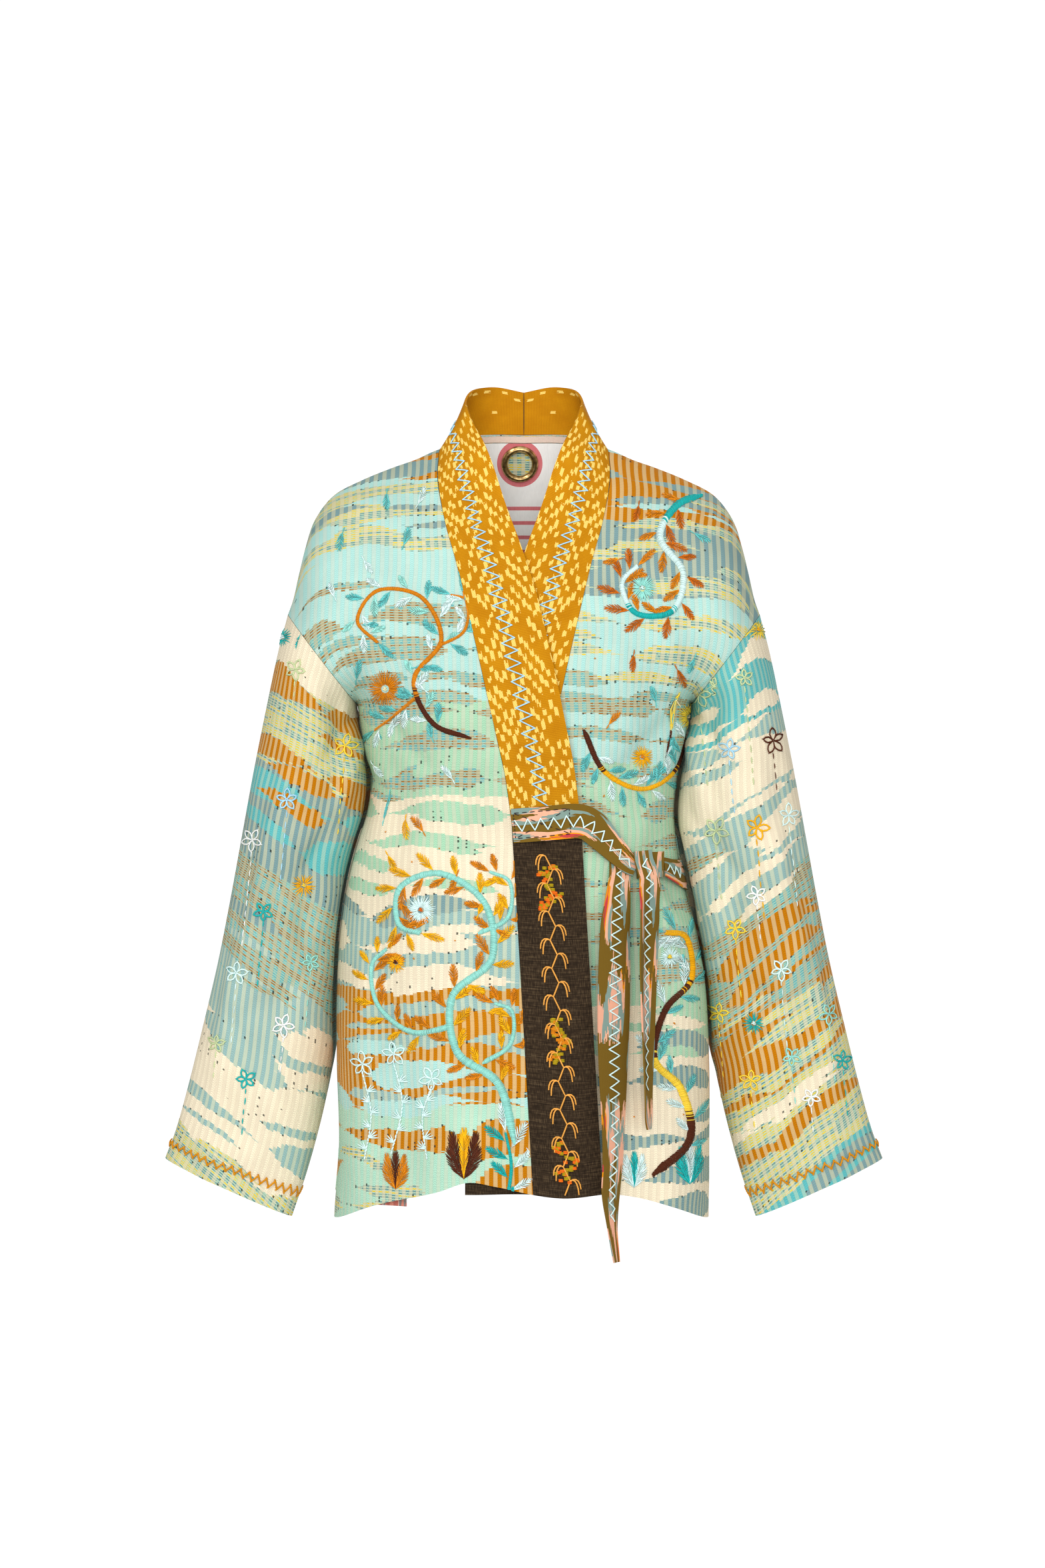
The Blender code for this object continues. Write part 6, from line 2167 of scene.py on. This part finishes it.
# Stems with leaves: points in millimetres, half width, tints of the stem and of its leaves, how
# many leaves, and their size
STEMS = {
    "front_right": [
        ("-46 -270 -80 -256 -96 -218 -72 -184 -90 -146 -128 -140 -146 -166 -128 -186",
         0.0020, "brown ochre ochre ochre", "aqua pale mint", 24, LEAF_SMALL),
        ("-76 -190 -52 -176 -50 -150 -64 -144", 0.0013, "ochre", "aqua pale", 8, LEAF_SMALL),
        ("-92 -232 -112 -248 -132 -262", 0.0013, "ochre", "aqua pale", 6, LEAF_SMALL),
        ("-8 -622 -22 -570 -58 -542 -62 -494 -28 -462 -34 -414 -72 -388 -108 -400 -110 -432 -90 -440",
         0.0033, "mint", "mustard ochre", 34, LEAF_LARGE),
        ("-62 -520 -98 -526 -128 -504 -134 -470 -120 -454", 0.0022, "mint", "ochre mustard", 15, LEAF_SMALL),
        ("-40 -440 -14 -426 -12 -396 -30 -386", 0.0018, "mint", "ochre mustard", 9, LEAF_SMALL),
        ("-36 -552 -12 -536 -10 -508 -26 -500", 0.0018, "mint", "ochre mustard", 9, LEAF_SMALL),
        ("-14 -668 -11 -640 -16 -612", 0.0014, "teal", "pale teal", 6, LEAF_BROAD),
    ],
    "front_left": [
        ("160 -51 136 -62 120 -92 140 -124 130 -158 98 -160 86 -134 100 -118",
         0.0030, "teal pale pale teal pale", "ochre rust", 24, LEAF_LARGE),
        ("52 -262 70 -298 104 -314 134 -298 148 -262",
         0.0022, "brown mustard mustard brown", "aqua pale aqua", 20, LEAF_SMALL),
        ("112 -652 146 -622 138 -578 114 -550 124 -508 148 -482 144 -446 124 -440",
         0.0034, "brown gold brown mustard", "aqua pale", 24, LEAF_LARGE),
    ],
    "back": [
        ("100 -580 70 -530 84 -466 40 -424 48 -362 10 -330 -28 -344 -30 -374 -12 -380",
         0.0033, "mint", "mustard ochre", 32, LEAF_LARGE),
        ("78 -490 112 -470 118 -430 98 -416", 0.0020, "mint", "ochre mustard", 12, LEAF_SMALL),
        ("-140 -290 -106 -268 -112 -216 -84 -180 -100 -138 -64 -120",
         0.0020, "brown ochre ochre ochre", "aqua pale", 20, LEAF_SMALL),
    ],
}

# Round flowers: place in millimetres, radius in metres
ROUND_FLOWERS = {
    "front_right": entries("""
    x z radius tint heart stitches
    -122 -226 0.0160 ochre cream 40
    -90 -420 0.0130 pale orange 40
    -112 -466 0.0090 mustard brown 28
"""),
    "front_left": entries("""
    x z radius tint heart stitches
    104 -138 0.0125 mint pale 36
    148 -250 0.0120 gold cream 34
    104 -286 0.0100 mustard ochre 28
    128 -462 0.0095 pale gold 30
"""),
    "back": entries("""
    x z radius tint heart stitches
    -8 -358 0.0130 pale orange 40
    -52 -108 0.0135 ochre cream 36
"""),
}

# Chain stems that end in a looped flower, in millimetres
LOOPED_FLOWERS = {
    "front_right": [
        "-140 -640 -134 -600 -142 -562",
        "-116 -634 -106 -590 -114 -552",
        "-84 -636 -88 -600 -80 -572",
    ],
    "front_left": [],
    "back": ["-100 -620 -92 -560 -104 -510", "-70 -616 -48 -560 -44 -500"],
}

# Cups of five broad petals near the hem: place in millimetres, tints of the sides and the middle
CUPS = {
    "front_right": entries("""
    x z scale side middle
    -52 -652 1.25 brown mustard
    -112 -664 0.95 ochre brown
"""),
    "front_left": entries("""
    x z scale side middle
    146 -662 1.05 teal pale
    96 -662 0.9 pale teal
"""),
    "back": entries("""
    x z scale side middle
    -85 -652 1.25 brown mustard
    20 -652 1.0 teal pale
"""),
}

# Looped flowers that end a chain: size, and height of their middle over the chain's end
CHAIN_FLOWER, CHAIN_RISE = 0.0105, 0.006

# Tints of the loose leaves, and of those in gold
GOLD_TINTS = ("mustard", "ochre")
LOOSE_TINTS = {"front_right": "aqua pale", "front_left": "rust ochre aqua", "back": "aqua pale"}


def build_embroidery(name, surface):
    """Scrolling stems, flowers, cups and loose leaves on one panel."""
    threads = Threads(4)
    needle = Needle(threads, surface, SEED[name], behind=name == "back")
    for line, radius, stem, leaves, pairs, size in STEMS[name]:
        needle.spray(metres(line), radius, stem.split(), leaves.split(), pairs, size)
    for x, z, radius, tint, heart, count in ROUND_FLOWERS[name]:
        needle.rosette(np.array([x, z]) / 1000, radius, tint, heart, int(count))
    for line in LOOPED_FLOWERS[name]:
        tip = needle.chain(metres(line), "pale")
        needle.daisy(tip + (0, CHAIN_RISE), CHAIN_FLOWER, "pale")
    for x, z, scale, side, middle in CUPS[name]:
        needle.cup(np.array([x, z]) / 1000, scale, side, middle)
    scatter(needle, LOOSE_LEAVES[name], LOOSE_TINTS[name].split())
    if name == "front_right":
        scatter(needle, LOOSE_GOLD, GOLD_TINTS)
    side = {"front_right": RIGHT, "front_left": LEFT, "back": 0}[name]
    places = metres(SPECKS)
    specks(needle, places[places[:, 0] * side > 0], "ochre")
    threads.build(name + "_sprays")


# Lights: place, aim, watts, and size, or the opening of a spot in degrees
LIGHTS = {
    "key": ((-1.4, -2.8, 1.2), (0, 0, -0.32), 45, 1.4),
    "fill": ((1.8, -2.6, 0.2), (0, 0, -0.32), 17, 1.8),
    "front": ((0.1, -4.2, 0.2), (0, 0, -0.32), 56, 1.2),
    "rim": ((0.4, 3.0, 0.9), (0, 0, -0.32), 62, 2.0),
    "neck": ((0.0, -2.6, 0.25), (0, 0.05, -0.040), 60, 3.4),
}

# Strength of the white world as a light, and as the background that the camera sees
WORLD_LIGHT, WORLD_SEEN = 0.53, 1.05
FLOOR_RADIUS, FLOOR_Z = 1.1, -1.25


def set_stage():
    """Camera, floor and light."""
    scene = bpy.context.scene
    data = bpy.data.cameras.new("camera")
    data.sensor_fit = "VERTICAL"
    data.sensor_height = CAMERA_SENSOR
    data.lens = CAMERA_LENS
    camera = bpy.data.objects.new("camera", data)
    camera.location = CAMERA_PLACE
    camera.rotation_euler = (math.radians(90), 0, 0)
    scene.collection.objects.link(camera)
    scene.camera = camera

    bpy.ops.mesh.primitive_circle_add(
        vertices=96, radius=FLOOR_RADIUS, fill_type="NGON", location=(0, 0, FLOOR_Z)
    )
    floor = bpy.context.object
    floor.name = "floor"
    paint = Graph("floor_paint", roughness=0.9, sheen=0.0)
    floor.data.materials.append(paint.colour(srgb(236, 236, 236)))

    world = bpy.data.worlds.new("studio")
    world.use_nodes = True
    nodes, links = world.node_tree.nodes, world.node_tree.links
    both = nodes.new("ShaderNodeMixShader")
    links.new(nodes.new("ShaderNodeLightPath").outputs["Is Camera Ray"], both.inputs[0])
    grounds = nodes["Background"], nodes.new("ShaderNodeBackground")
    for ground, strength, socket in zip(grounds, (WORLD_LIGHT, WORLD_SEEN), both.inputs[1:]):
        ground.inputs["Color"].default_value = (1, 1, 1, 1)
        ground.inputs["Strength"].default_value = strength
        links.new(ground.outputs[0], socket)
    links.new(both.outputs[0], nodes["World Output"].inputs["Surface"])
    scene.world = world

    for name, (place, aim, power, size) in LIGHTS.items():
        lamp = bpy.data.lights.new(name, "SPOT" if name == "neck" else "AREA")
        lamp.energy = power
        if name == "neck":
            lamp.spot_size = math.radians(size)
            lamp.spot_blend = 1.0
            lamp.shadow_soft_size = 0.05
        else:
            lamp.size = size
        light = bpy.data.objects.new(name, lamp)
        light.location = place
        way = Vector(aim) - Vector(place)
        light.rotation_euler = way.to_track_quat("-Z", "Y").to_euler()
        scene.collection.objects.link(light)
    scene.view_settings.view_transform = "Standard"


THREAD = thread_material()
set_stage()
cloth_surfaces = build_cloth()
cloth_surfaces.update(build_ties())
build_neck()
build_stitches(cloth_surfaces)
build_sleeve_flowers(cloth_surfaces)
for panel in STEMS:
    build_embroidery(panel, cloth_surfaces[panel])
